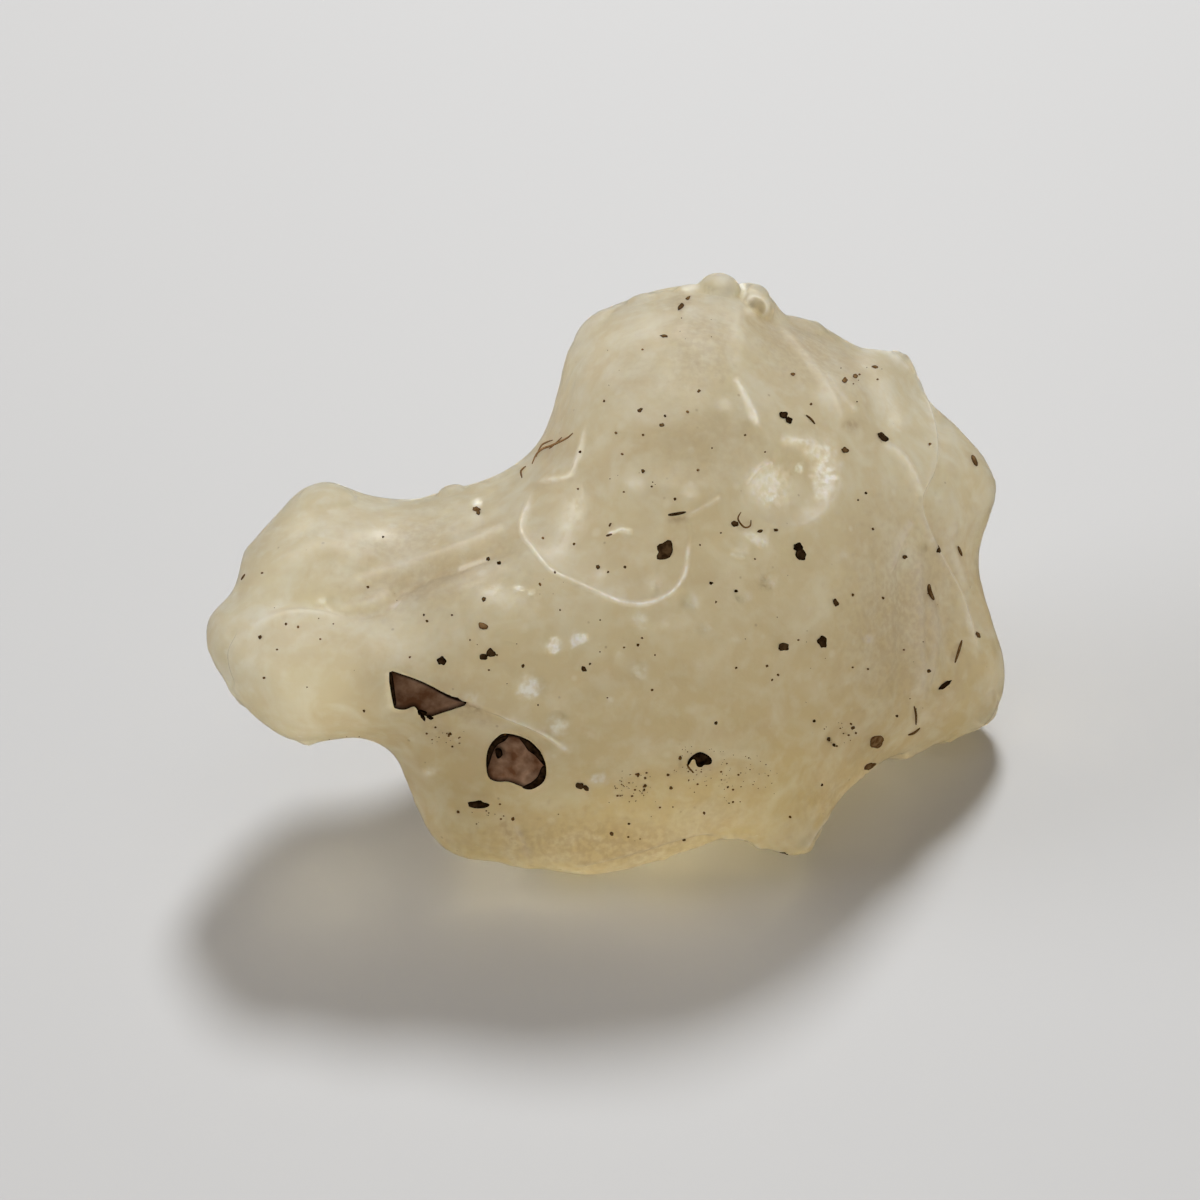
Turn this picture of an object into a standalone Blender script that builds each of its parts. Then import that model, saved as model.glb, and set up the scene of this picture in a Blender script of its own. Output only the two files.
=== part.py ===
"""A pebble of Libyan desert glass, lying on the small flat that wear has left under it.

It is one natural fragment, so it is one solid.  The stone's broad face leans back, and its shape is
laid out in that face's own frame, in millimetres: u to the right, v up the face and w out of it.
A rim line runs all the way round the stone.  Inside it a front sheet and a back sheet are stretched
through heights set by hand, and the sheets meet the rim in rounded edges.  Wind-worn scallops are
dished out of both sheets, and two small knobs stand on the top of the rim.
"""

import math

import bmesh
import bpy
import numpy as np

MM = 0.001

# Driving dimensions, in millimetres and degrees
STONE_LENGTH = 32.9
DRAWN_LENGTH = 32.9     # the length that the lists below draw
FACE_TILT = 40.0        # how far the broad face's normal points above the horizon
REST_DEPTH = 9.6        # from the frame's origin straight down to the resting flat
SIGHT = 113.3           # the outline is a cone: its sections meet this far out along w
RIM_HALF = 1.9          # half the thickness of the stone along its rim line
RIM_ROUND = 1.9         # radius of the edge between a sheet and the rim
EDGE_ROUND = 2.0        # radius where the two sheets would meet each other
RIM_FADE = (0.5, 3.5)   # away from the rim line its small bumps fade out over this range
RIM_BLUR = 1.2          # how far they are evened out there
BLEND_KNOB = 0.35       # how softly the knobs run into the rim
FLANK_BACK = 3.2        # the right flank falls back by this much in all,
FLANK_FROM = 3.0        # from here
FLANK_TO = 15.0         # to here along u

# The rim line before the flank falls back, clockwise from the left tip: u, v, w
RIM = [
    # the left lobe: its tip and the knuckle above it
    (-15.8, -1.4, 0.3), (-15.6, -0.5, 0.0), (-14.7, 0.5, -0.6), (-14.2, 1.9, -1.2),
    (-12.8, 3.5, -2.2), (-11.8, 4.5, -2.7), (-10.8, 4.7, -3.0), (-9.3, 4.2, -3.0),
    # the neck, up to the hump
    (-7.5, 4.0, -3.0), (-6.2, 4.4, -3.1), (-5.0, 4.7, -3.2), (-3.7, 5.3, -3.2),
    (-2.6, 6.4, -3.2), (-2.0, 8.0, -3.2), (-1.4, 10.0, -3.2), (-0.4, 11.3, -3.3),
    # over the top
    (1.6, 12.3, -3.6), (3.6, 12.7, -3.8), (5.6, 12.7, -4.0), (7.0, 12.2, -4.1),
    (7.3, 11.5, -4.1), (9.1, 11.0, -4.3), (10.6, 10.2, -4.4), (12.2, 9.9, -4.5),
    # down the right flank, with its waist
    (13.1, 8.2, -4.6), (14.4, 7.0, -4.5), (15.6, 5.5, -4.4), (15.8, 4.0, -4.1),
    (15.2, 2.2, -3.9), (15.2, 0.6, -3.7), (16.2, -2.6, -3.5), (16.0, -4.1, -3.5),
    # under the right side to the tooth
    (15.4, -5.0, -3.5), (13.6, -5.7, -3.0), (11.6, -6.5, -2.4), (10.0, -7.8, -1.5),
    (8.8, -9.4, -0.8), (7.8, -10.2, -0.6), (6.4, -9.8, -0.7), (5.0, -9.5, -0.9),
    # the bulge the stone lies on
    (4.0, -10.0, -0.8), (2.3, -10.5, -0.6), (-0.3, -11.0, -0.4), (-3.0, -10.6, -0.4),
    (-5.6, -10.3, -0.4), (-6.8, -9.4, -0.3), (-7.5, -7.9, -0.2),
    # the hollow under the left lobe
    (-8.3, -6.3, 0.2), (-9.3, -5.7, 0.6), (-12.2, -5.6, 1.0), (-13.6, -4.8, 1.0),
    (-15.4, -2.8, 0.7),
]

# Heights of the front sheet before the flank falls back: u, v, w
FRONT = [
    # the finger of the left lobe, the valley above it and the band behind
    (-12.4, -2.6, 4.3), (-8.4, -3.2, 4.7), (-14.0, -1.6, 3.4), (-12.0, 0.0, 2.2),
    (-8.4, 0.3, 2.4), (-12.0, 2.0, 1.4), (-10.0, 2.8, 0.8), (-6.8, 2.4, 1.0),
    # the central face
    (-4.8, 1.6, 2.7), (-4.8, -1.6, 4.6), (-1.6, 1.6, 4.0), (-1.6, -2.0, 5.1),
    (-1.6, -4.4, 4.7), (2.0, 0.0, 4.7), (4.0, -3.2, 4.5), (5.6, 0.8, 4.4),
    # the hump, leaning back
    (0.8, 4.8, 3.8), (4.0, 4.0, 4.4), (-0.4, 7.2, 2.2), (1.6, 8.0, 2.9),
    (4.8, 7.2, 3.4), (2.0, 10.4, 1.0), (5.2, 10.2, 1.3),
    # the right side
    (8.0, 4.0, 4.0), (8.8, 7.2, 2.2), (10.4, 8.4, 0.6), (11.2, 5.2, 1.8),
    (10.4, 1.6, 3.4), (9.6, -2.4, 3.6), (12.8, 2.4, 0.8), (13.2, -1.6, 0.8), (12.0, -3.6, 1.4),
    # the lower face: tooth, hollow and bulge
    (7.2, -5.6, 2.9), (10.4, -5.2, 1.4), (7.6, -8.4, 1.4), (4.0, -6.8, 2.8),
    (1.6, -6.4, 3.2), (0.8, -8.8, 1.8), (-2.4, -6.8, 3.4), (-4.0, -8.8, 1.8), (-6.0, -6.8, 2.2),
]

# Heights of the back sheet: u, v, w
BACK = [
    # behind the left lobe and the neck
    (-12.0, -2.0, -2.4), (-10.8, 1.2, -4.6), (-8.0, -0.8, -4.6), (-6.0, 1.6, -6.2), (-3.2, 1.6, -7.8),
    # behind the body
    (0.0, 3.2, -8.6), (4.0, 4.8, -9.2), (8.0, 4.8, -9.4), (12.0, 3.2, -9.4),
    (0.0, -1.6, -9.6), (4.8, 0.0, -9.8), (10.0, -0.8, -9.6), (-4.0, -3.2, -8.2), (13.2, -1.6, -9.2),
    # behind the hump
    (1.6, 8.8, -7.4), (5.6, 9.2, -8.2), (9.6, 7.6, -9.2),
    # under the body
    (1.0, -6.0, -9.2), (7.0, -4.6, -9.8), (11.0, -4.2, -9.0),
]

# Scallops: middle u, v; half-widths along and across; turn in degrees; depth
LIP_EASE = 1.4
FRONT_SCALLOPS = [
    (0.2, 2.8, 3.4, 2.5, -15.0, 0.40),
    (7.7, 4.7, 1.9, 1.8, 0.0, 0.35),
]
BACK_SCALLOPS = [
    (2.4, 6.4, 3.6, 2.6, 20.0, 0.70),
    (9.2, 3.6, 2.8, 3.6, -10.0, 0.60),
    (-3.6, 0.0, 3.0, 2.2, 35.0, 0.55),
    (-10.4, 0.4, 2.6, 1.8, 10.0, 0.45),
    (5.6, -1.6, 3.2, 2.4, -5.0, 0.50),
]

# Knobs on the rim: middle u, v, w; radius
KNOBS = [
    (4.8, 12.5, -3.4, 0.62),
    (6.35, 12.05, -3.3, 0.72),
]

# The grid on which outline and sheets are worked out
GRID_STEP = 0.1
GRID_U = np.arange(-20.0, 20.05, GRID_STEP)
GRID_V = np.arange(-15.0, 17.05, GRID_STEP)

# The mesh
START_FINENESS = 6      # subdivisions of the ball that is shrunk onto the stone
REACH = 22.0            # radius of that ball
SKIN_CELL = 0.32        # cell of the even skin
MOST_TRIANGLES = 9400
GLASS_COLOUR = (0.74, 0.67, 0.47, 1.0)


def smooth_ring(points, steps=6):
    """A closed curve through the points, as points again."""
    ring = []
    count = len(points)
    for i in range(count):
        before, start = points[i - 1], points[i]
        end, after = points[(i + 1) % count], points[(i + 2) % count]
        length = np.linalg.norm(end - start)
        leave = (end - before) / (np.linalg.norm(start - before) + length) * length
        arrive = (after - start) / (np.linalg.norm(after - end) + length) * length
        for t in np.arange(steps) / steps:
            ring.append(
                (2 * t**3 - 3 * t**2 + 1) * start
                + (t**3 - 2 * t**2 + t) * leave
                + (3 * t**2 - 2 * t**3) * end
                + (t**3 - t**2) * arrive
            )
    return np.array(ring)


def distance_to_ring(ring, u, v):
    """Distance from the closed ring in its plane, below zero inside."""
    nearest = np.full(u.shape, np.inf)
    inside = np.zeros(u.shape, bool)
    for (u0, v0), (u1, v1) in zip(ring, np.roll(ring, -1, axis=0)):
        du, dv = u1 - u0, v1 - v0
        along = np.clip(((u - u0) * du + (v - v0) * dv) / (du * du + dv * dv), 0.0, 1.0)
        nearest = np.minimum(nearest, np.hypot(u - u0 - along * du, v - v0 - along * dv))
        if v0 != v1:
            crosses = (v0 > v) != (v1 > v)
            inside ^= crosses & (u < u0 + (v - v0) * du / dv)
    return np.where(inside, -nearest, nearest)


def bend(squared):
    """The thin plate's spring law."""
    return squared * np.log(squared + 1e-9)


def stretched_sheet(points, u, v, slack=0.6):
    """Heights of a thin springy sheet that passes close to every point."""
    points = np.array(points)
    flat, heights = points[:, :2], points[:, 2]
    count = len(points)
    system = np.zeros((count + 3, count + 3))
    apart = ((flat[:, None] - flat[None]) ** 2).sum(axis=2)
    system[:count, :count] = bend(apart) + slack * np.eye(count)
    system[:count, count] = 1.0
    system[:count, count + 1:] = flat
    system[count:, :count] = system[:count, count:].T
    weights = np.linalg.solve(system, np.append(heights, (0.0, 0.0, 0.0)))
    sheet = weights[count] + weights[count + 1] * u + weights[count + 2] * v
    for (pu, pv), weight in zip(flat, weights):
        sheet = sheet + weight * bend((u - pu) ** 2 + (v - pv) ** 2)
    return sheet


def scallop(u, v, dish):
    """Depth of one dish: a shallow bowl that eases out at its lip."""
    mid_u, mid_v, along, across, turn, depth = dish
    angle = math.radians(turn)
    a = ((u - mid_u) * math.cos(angle) + (v - mid_v) * math.sin(angle)) / along
    b = ((v - mid_v) * math.cos(angle) - (u - mid_u) * math.sin(angle)) / across
    return depth * np.clip(1.0 - a * a - b * b, 0.0, None) ** LIP_EASE


def evened_out(sheet, width):
    """The sheet averaged over a square of the given width, twice."""
    reach = int(round(width / GRID_STEP))
    for axis in (0, 1, 0, 1):
        padded = np.apply_along_axis(np.pad, axis, sheet, reach, mode="edge")
        total = np.cumsum(padded, axis=axis)
        size = sheet.shape[axis]
        ahead = np.take(total, np.arange(2 * reach, 2 * reach + size), axis=axis)
        behind = np.take(total, np.arange(size), axis=axis)
        sheet = (ahead - behind) / (2 * reach)
    return sheet


def steepness(sheet):
    """How much longer a height difference looks than the true distance to the sheet."""
    slope_v, slope_u = np.gradient(sheet, GRID_STEP)
    return np.sqrt(1.0 + slope_u ** 2 + slope_v ** 2)


def read(sheet, u, v):
    """The sheet's value at any place, between its grid points."""
    col = np.clip((u - GRID_U[0]) / GRID_STEP, 0.0, len(GRID_U) - 1.001)
    row = np.clip((v - GRID_V[0]) / GRID_STEP, 0.0, len(GRID_V) - 1.001)
    c, r = col.astype(int), row.astype(int)
    fc, fr = col - c, row - r
    low = sheet[r, c] * (1 - fc) + sheet[r, c + 1] * fc
    high = sheet[r + 1, c] * (1 - fc) + sheet[r + 1, c + 1] * fc
    return low * (1 - fr) + high * fr


def rounded_corner(a, b, radius):
    """Both distances at once: the corner where their surfaces meet is an arc."""
    over_a, over_b = np.maximum(a + radius, 0.0), np.maximum(b + radius, 0.0)
    in_arc = (over_a > 0.0) & (over_b > 0.0)
    return np.where(in_arc, np.hypot(over_a, over_b) - radius, np.maximum(a, b))


def melted(a, b, blend):
    """Either distance: the two bodies run together over the blend."""
    h = np.clip(blend - np.abs(a - b), 0.0, None) / blend
    return np.minimum(a, b) - h * h * blend / 4.0


def flank_fallen_back(points):
    """The points, those of the right flank moved back along w, the more the further right they lie."""
    moved = []
    for u, v, w, *rest in points:
        share = min(max((u - FLANK_FROM) / (FLANK_TO - FLANK_FROM), 0.0), 1.0)
        moved.append((u, v, w - FLANK_BACK * share * share * (3.0 - 2.0 * share), *rest))
    return moved


class Stone:
    """The stone's surface, as a distance that is below zero inside it."""

    def __init__(self):
        u, v = np.meshgrid(GRID_U, GRID_V)
        rim = flank_fallen_back(RIM)
        self.knobs = flank_fallen_back(KNOBS)
        self.outline = distance_to_ring(smooth_ring(np.array(rim)[:, :2]), u, v)
        self.soft_outline = evened_out(self.outline, RIM_BLUR)
        self.rim_line = stretched_sheet(rim, u, v)
        front_rim = [(a, b, c + RIM_HALF) for a, b, c in rim]
        back_rim = [(a, b, c - RIM_HALF) for a, b, c in rim]
        self.front = stretched_sheet(front_rim + flank_fallen_back(FRONT), u, v)
        self.back = stretched_sheet(back_rim + BACK, u, v)
        for dish in FRONT_SCALLOPS:
            self.front = self.front - scallop(u, v, dish)
        for dish in BACK_SCALLOPS:
            self.back = self.back + scallop(u, v, dish)
        self.front_steepness = steepness(self.front)
        self.back_steepness = steepness(self.back)

    def rim_distance(self, u, v, w):
        off_line = np.abs(w - read(self.rim_line, u, v))
        fade = np.clip((off_line - RIM_FADE[0]) / (RIM_FADE[1] - RIM_FADE[0]), 0.0, 1.0)
        sharp, soft = read(self.outline, u, v), read(self.soft_outline, u, v)
        return sharp + fade * (soft - sharp)

    def distance(self, points):
        w = points[:, 2]
        widen = SIGHT / (SIGHT - w)
        u, v = points[:, 0] * widen, points[:, 1] * widen
        above = (w - read(self.front, u, v)) / read(self.front_steepness, u, v)
        below = (read(self.back, u, v) - w) / read(self.back_steepness, u, v)
        body = rounded_corner(above, below, EDGE_ROUND)
        body = rounded_corner(body, self.rim_distance(u, v, w), RIM_ROUND)
        for *middle, radius in self.knobs:
            knob = np.linalg.norm(points - np.array(middle), axis=1) - radius
            body = melted(body, knob, BLEND_KNOB)
        return body

    def shrink_onto(self, directions):
        """Where rays from the middle of the stone leave it."""
        inner = np.zeros(len(directions))
        outer = np.full(len(directions), REACH)
        open_rays = np.ones(len(directions), bool)
        for radius in np.arange(REACH, 0.0, -0.25):
            inside = self.distance(directions * radius) < 0.0
            found = open_rays & inside
            inner[found] = radius
            outer[found] = radius + 0.25
            open_rays &= ~inside
        for _ in range(14):
            middle = (inner + outer) / 2.0
            inside = self.distance(directions * middle[:, None]) < 0.0
            inner = np.where(inside, middle, inner)
            outer = np.where(inside, outer, middle)
        return directions * inner[:, None]

    def settle(self, points, rounds=3):
        """Moves points that lie near the surface straight onto it."""
        probe = 0.03
        for _ in range(rounds):
            value = self.distance(points)
            slope = np.stack(
                [self.distance(points + probe * axis) - self.distance(points - probe * axis)
                 for axis in np.eye(3)], axis=1) / (2.0 * probe)
            step = value / ((slope ** 2).sum(axis=1) + 1e-6)
            points = points - np.clip(step, -0.3, 0.3)[:, None] * slope
        return points


def to_world(points):
    """From the broad face's frame to metres with +Z up, the resting flat at z = 0."""
    tilt = math.radians(FACE_TILT)
    u, v, w = points.T * (STONE_LENGTH / DRAWN_LENGTH)
    rest = REST_DEPTH * STONE_LENGTH / DRAWN_LENGTH
    back = v * math.sin(tilt) - w * math.cos(tilt)
    up = v * math.cos(tilt) + w * math.sin(tilt) + rest
    return np.stack([u, back, up], axis=1) * MM


def vertex_array(mesh):
    flat = np.empty(len(mesh.vertices) * 3)
    mesh.vertices.foreach_get("co", flat)
    return flat.reshape(-1, 3)


def put_vertices(mesh, points):
    mesh.vertices.foreach_set("co", points.ravel())
    mesh.update()


def evaluated_copy(obj):
    """The object's mesh with its modifiers worked out."""
    graph = bpy.context.evaluated_depsgraph_get()
    return bpy.data.meshes.new_from_object(obj.evaluated_get(graph))


def add_object(name, mesh):
    obj = bpy.data.objects.new(name, mesh)
    bpy.context.scene.collection.objects.link(obj)
    return obj


def even_skin(stone):
    """A closed skin of even cells lying on the stone's surface, still in the face's frame."""
    ball = bpy.data.meshes.new("skin_start")
    work = bmesh.new()
    bmesh.ops.create_icosphere(work, subdivisions=START_FINENESS, radius=1.0)
    work.to_mesh(ball)
    work.free()
    put_vertices(ball, stone.shrink_onto(vertex_array(ball)))

    start = add_object("skin_start", ball)
    remesh = start.modifiers.new("even cells", "REMESH")
    remesh.mode = "VOXEL"
    remesh.voxel_size = SKIN_CELL
    remesh.adaptivity = 0.0
    skin = evaluated_copy(start)
    bpy.data.objects.remove(start)
    put_vertices(skin, stone.settle(vertex_array(skin)))
    return skin


def glass_material():
    material = bpy.data.materials.new("desert_glass")
    material.use_nodes = True
    shader = material.node_tree.nodes["Principled BSDF"]
    shader.inputs["Base Color"].default_value = GLASS_COLOUR
    shader.inputs["Roughness"].default_value = 0.35
    shader.inputs["Metallic"].default_value = 0.0
    shader.inputs["IOR"].default_value = 1.46
    return material


def ground_cutter(size):
    """A block whose top is the plane the stone lies on."""
    work = bmesh.new()
    bmesh.ops.create_cube(work, size=size)
    bmesh.ops.translate(work, verts=work.verts, vec=(0.0, 0.0, -size / 2.0))
    mesh = bpy.data.meshes.new("ground_cutter")
    work.to_mesh(mesh)
    work.free()
    cutter = add_object("ground_cutter", mesh)
    cutter.hide_render = True
    cutter.display_type = "WIRE"
    return cutter


def build_stone():
    skin = even_skin(Stone())
    points = to_world(vertex_array(skin))
    footprint_middle = (points[:, :2].min(axis=0) + points[:, :2].max(axis=0)) / 2.0
    points[:, :2] -= footprint_middle
    put_vertices(skin, points)

    stone = add_object("desert_glass", skin)
    skin.name = "desert_glass"
    skin.materials.clear()
    skin.materials.append(glass_material())

    flat = stone.modifiers.new("worn flat", "BOOLEAN")
    flat.object = ground_cutter(3.0 * STONE_LENGTH * MM)
    flat.operation = "DIFFERENCE"

    triangles = 2 * len(skin.polygons)
    thinner = stone.modifiers.new("fewer facets", "DECIMATE")
    thinner.ratio = min(1.0, MOST_TRIANGLES / triangles)
    skin.shade_smooth()
    return stone


def main():
    for obj in list(bpy.data.objects):
        bpy.data.objects.remove(obj)
    build_stone()


main()
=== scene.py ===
"""Looks of the desert glass pebble: worn waxy glass, what is sealed in it, and a soft studio."""
import math
import random

import bmesh
import bpy
import numpy as np
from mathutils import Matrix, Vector, geometry, noise
from mathutils.bvhtree import BVHTree


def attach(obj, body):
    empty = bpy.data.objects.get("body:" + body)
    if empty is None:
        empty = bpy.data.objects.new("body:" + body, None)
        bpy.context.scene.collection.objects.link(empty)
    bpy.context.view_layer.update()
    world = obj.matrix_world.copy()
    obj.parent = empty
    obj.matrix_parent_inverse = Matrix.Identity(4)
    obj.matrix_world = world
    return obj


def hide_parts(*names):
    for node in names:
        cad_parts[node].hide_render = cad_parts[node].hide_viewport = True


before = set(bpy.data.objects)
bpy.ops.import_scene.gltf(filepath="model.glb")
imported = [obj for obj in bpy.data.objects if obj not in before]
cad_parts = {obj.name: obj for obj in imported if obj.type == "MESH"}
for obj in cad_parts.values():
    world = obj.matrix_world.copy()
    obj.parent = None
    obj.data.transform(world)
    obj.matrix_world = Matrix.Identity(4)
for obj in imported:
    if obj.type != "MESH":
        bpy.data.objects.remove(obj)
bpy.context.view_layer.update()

MM = 0.001

# ---------------- the camera and its picture
# Columns and rows below are pixels of the photograph's 1200 x 1200 frame.
PICTURE = 1200
LENS = 85.0  # mm, on a sensor as wide as SENSOR
SENSOR = 36.0
CLIPS = (0.005, 20.0)  # m, nearest and furthest that the camera sees
LOOK_DOWN = math.radians(40.0)
AIM = Vector((-0.714, -2.771, 9.6)) * MM  # the picture's middle, inside the stone
AWAY = 113.33 * MM
PIXELS_PER_SLOPE = PICTURE * LENS / SENSOR
PIXEL = AWAY / PIXELS_PER_SLOPE  # one pixel at the aim's distance, 0.04 mm

RIGHT = np.array((1.0, 0.0, 0.0))
UP = np.array((0.0, math.sin(LOOK_DOWN), math.cos(LOOK_DOWN)))
TOWARD = np.array((0.0, -math.cos(LOOK_DOWN), math.sin(LOOK_DOWN)))
EYE = np.array(AIM) + TOWARD * AWAY

# ---------------- the glass skin
WELD = 0.001 * MM
SKIN_CELL = 0.285 * MM  # halved where the skin faces the camera, and again at lines
FACET_ROUNDING = 2  # subdivisions
FACET_SMOOTHING = 8  # passes
CELL_SMOOTHING = 3
SMOOTHING_FACTOR = 0.5
FINE_FROM = 0.05  # how squarely a cell faces the camera to be halved
LINE_REACH = 5.0  # pixels from a line, within which cells are halved again
SWELL = 0.09  # mm, what the smoothing takes off the facets' corners
RESTING_GAP = 0.05 * MM  # air between the skin's flat and the floor
FRONT_FADE = (0.05, 0.35)  # how squarely it faces the camera where drawn features begin, and are in full

# Waviness all over: wavelength and height, mm
WAVES = [(4.2, 0.11), (1.9, 0.05), (0.9, 0.018)]
WAVE_SHIFT = (3.1, 7.7, 1.3)  # wavelengths from one kind of wave to the next

# Small knobs: column, row, radius and height in mm
KNOBS = [
    (720, 290, 0.84, 0.50), (757, 306, 0.80, 0.42), (751, 293, 0.62, 0.24), (772, 300, 0.45, 0.16),
    (690, 292, 0.60, 0.16), (664, 297, 0.45, 0.10), (642, 301, 0.62, 0.18), (592, 324, 1.00, 0.12),
    (557, 392, 1.20, 0.14), (452, 494, 0.55, 0.24), (478, 490, 0.50, 0.10), (328, 496, 1.20, 0.20),
    (806, 326, 0.90, 0.14), (905, 360, 0.80, 0.18), (988, 488, 1.00, 0.12), (984, 712, 0.90, 0.12),
    (812, 836, 0.70, 0.14), (800, 846, 0.60, 0.16),
]

# Lines on the glass: route, half width in pixels, height in mm (sunk below zero), frost with painted
# highlight on the ridges
LINES = [
    # left finger: the valley above it, its inner tip line, and faint flow lines on the band behind
    ([(245, 607), (300, 601), (350, 610), (381, 607), (398, 592), (422, 577), (446, 569), (475, 558),
      (505, 546), (527, 534)], 8, -0.24, 0.0),
    ([(237, 625), (226, 644), (223, 657), (226, 673), (233, 690)], 3.5, -0.16, 0.0),
    ([(249, 631), (262, 623), (284, 614), (310, 611), (345, 616)], 5, 0.10, 0.14),
    ([(275, 575), (300, 552), (322, 545), (352, 556), (385, 553)], 9, 0.10, 0.10),
    ([(345, 585), (380, 573), (430, 556), (471, 541), (505, 524)], 5, 0.09, 0.14),
    ([(330, 606), (352, 604), (376, 600), (392, 590)], 4, 0.07, 0.20),
    ([(455, 567), (470, 561), (488, 556)], 3, 0.05, 0.35),
    # the big dimple's lip, and the fine lines above it
    ([(533, 484), (529, 500), (524, 515), (521, 528), (525, 538), (533, 548), (543, 561), (553, 571),
      (568, 578), (589, 588), (609, 597), (627, 603), (642, 604), (657, 600), (670, 593), (680, 583),
      (685, 570), (687, 556)], 2.2, 0.085, 0.30),
    ([(580, 583), (609, 597), (627, 603), (642, 604), (657, 600), (670, 593), (680, 583), (686, 570),
      (688, 550), (688, 540)], 2.0, 0.02, 0.62),
    ([(586, 423), (583, 440), (580, 452), (575, 466), (570, 476), (556, 479), (534, 482)], 2.6, 0.06, 0.30),
    ([(592, 490), (577, 503), (568, 522), (562, 540), (553, 557)], 7, 0.02, 0.20),
    ([(606, 533), (612, 530), (622, 528), (632, 532)], 2.2, 0.04, 0.60),
    ([(684, 517), (697, 511), (711, 503), (722, 496)], 2.2, 0.03, 0.35),
    # the second dimple's left and upper lip
    ([(745, 486), (751, 478), (758, 469), (766, 464), (777, 463)], 2.6, 0.08, 0.62),
    ([(743, 531), (751, 537), (758, 544), (765, 547)], 2.0, 0.03, 0.60),
    ([(730, 553), (738, 556), (746, 557)], 2.0, 0.03, 0.50),
    ([(779, 438), (790, 440), (805, 441), (820, 447), (830, 458)], 4.5, 0.05, 0.50),
    ([(838, 462), (839, 480), (834, 498), (822, 514), (806, 524)], 4, 0.05, 0.20),
    # lines on the hump
    ([(734, 376), (741, 388), (748, 402), (755, 415), (757, 428)], 3.2, 0.05, 0.45),
    ([(776, 325), (795, 344), (813, 365), (829, 388), (838, 405), (842, 424)], 4, 0.07, 0.18),
    ([(826, 372), (836, 388), (846, 402), (856, 412)], 3, 0.06, 0.18),
    ([(738, 300), (738, 330), (738, 368)], 6, 0.06, 0.12),
    ([(858, 352), (878, 380), (889, 405), (893, 428)], 9, 0.08, 0.18),
    ([(868, 346), (884, 352), (898, 360), (910, 374)], 4, 0.06, 0.22),
    ([(747, 306), (748, 299), (754, 295), (761, 297), (767, 303), (767, 312), (760, 317)], 1.8, -0.05, 0.45),
    ([(735, 280), (742, 284), (745, 292), (742, 299)], 1.8, -0.05, 0.45),
    # flow ridges down the right flank
    ([(903, 352), (916, 378), (929, 408), (936, 440), (933, 470), (923, 492), (921, 512), (928, 533),
      (942, 560), (953, 579), (963, 604), (970, 627), (975, 652), (978, 668)], 4.2, 0.10, 0.24),
    ([(884, 442), (903, 460), (913, 478), (917, 497)], 4, 0.12, 0.30),
    ([(911, 520), (903, 534), (895, 552), (890, 574)], 4, 0.12, 0.30),
    ([(913, 545), (917, 600), (919, 650), (922, 703)], 6, 0.16, 0.30),
    ([(900, 560), (903, 600), (902, 650), (896, 700)], 8, -0.12, 0.0),
    ([(936, 590), (948, 618), (951, 645), (944, 672), (930, 694)], 8, -0.16, 0.0),
    ([(938, 412), (946, 440), (946, 470), (936, 498)], 6, -0.12, 0.0),
    ([(958, 520), (950, 542), (958, 566), (968, 590)], 5, 0.10, 0.30),
    ([(929, 594), (934, 640), (928, 690)], 5, 0.10, 0.25),
    # below: the pale line that runs on from the wedge, and the rim of the underside
    ([(498, 715), (520, 722), (541, 732), (560, 744), (572, 754)], 3, 0.07, 0.60),
    ([(722, 836), (703, 833), (691, 836), (674, 840), (652, 848), (625, 856), (596, 862), (566, 868)],
     2.6, 0.09, 0.40),
    ([(719, 836), (740, 840), (764, 848), (792, 855)], 2.6, 0.10, 0.50),
    ([(802, 852), (812, 838), (826, 820), (842, 806), (862, 788)], 2.8, 0.10, 0.50),
    ([(516, 824), (522, 838), (530, 856)], 3, 0.06, 0.40),
]

# Ledges: route, reach in pixels and drop in mm on the right hand of the way along it
LEDGES = [
    ([(446, 693), (466, 704), (485, 711), (510, 720), (540, 733), (564, 748)], 14, 0.34),
    ([(722, 836), (703, 833), (674, 840), (640, 850), (596, 862), (560, 868)][::-1], 12, 0.30),
    ([(903, 352), (929, 408), (936, 440), (934, 470), (921, 505), (943, 560), (965, 604), (978, 668)][::-1],
     20, 0.34),
    ([(880, 768), (850, 790), (826, 818), (800, 850)][::-1], 14, 0.20),
]

# Dimples: ring, depth in mm, width of the slope in pixels, row above which it fades out (None: nowhere)
DIMPLES = [
    ([(533, 484), (524, 513), (521, 528), (533, 548), (553, 571), (589, 588), (627, 603), (657, 600),
      (680, 583), (688, 556), (690, 530), (672, 505), (630, 494), (580, 486)], 0.22, 12, 520),
    ([(741, 488), (757, 470), (770, 459), (783, 441), (806, 440), (827, 452), (836, 470), (832, 490),
      (822, 512), (800, 526), (770, 524), (748, 508)], 0.28, 11, None),
    ([(585, 385), (600, 350), (650, 335), (700, 350), (705, 390), (670, 425), (620, 420)], 0.18, 26, None),
    ([(590, 640), (640, 615), (700, 625), (720, 670), (680, 720), (620, 715)], 0.14, 30, None),
    ([(775, 590), (840, 570), (890, 610), (885, 680), (820, 700), (775, 660)], 0.18, 26, None),
    ([(290, 640), (340, 632), (375, 655), (350, 690), (300, 685)], 0.10, 18, None),
    ([(690, 770), (760, 750), (820, 765), (815, 810), (760, 825), (705, 805)], 0.18, 22, None),
    ([(425, 735), (465, 728), (480, 760), (455, 790), (425, 775)], 0.14, 14, None),
    ([(860, 380), (885, 370), (905, 400), (900, 430), (872, 425)], 0.14, 10, None),
    ([(955, 430), (975, 450), (982, 490), (970, 520), (950, 490)], 0.16, 12, None),
    ([(600, 440), (650, 430), (720, 440), (735, 470), (690, 488), (620, 478)], 0.12, 16, None),
    ([(258, 545), (300, 512), (345, 505), (350, 530), (300, 560)], 0.12, 14, None),
]
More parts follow.
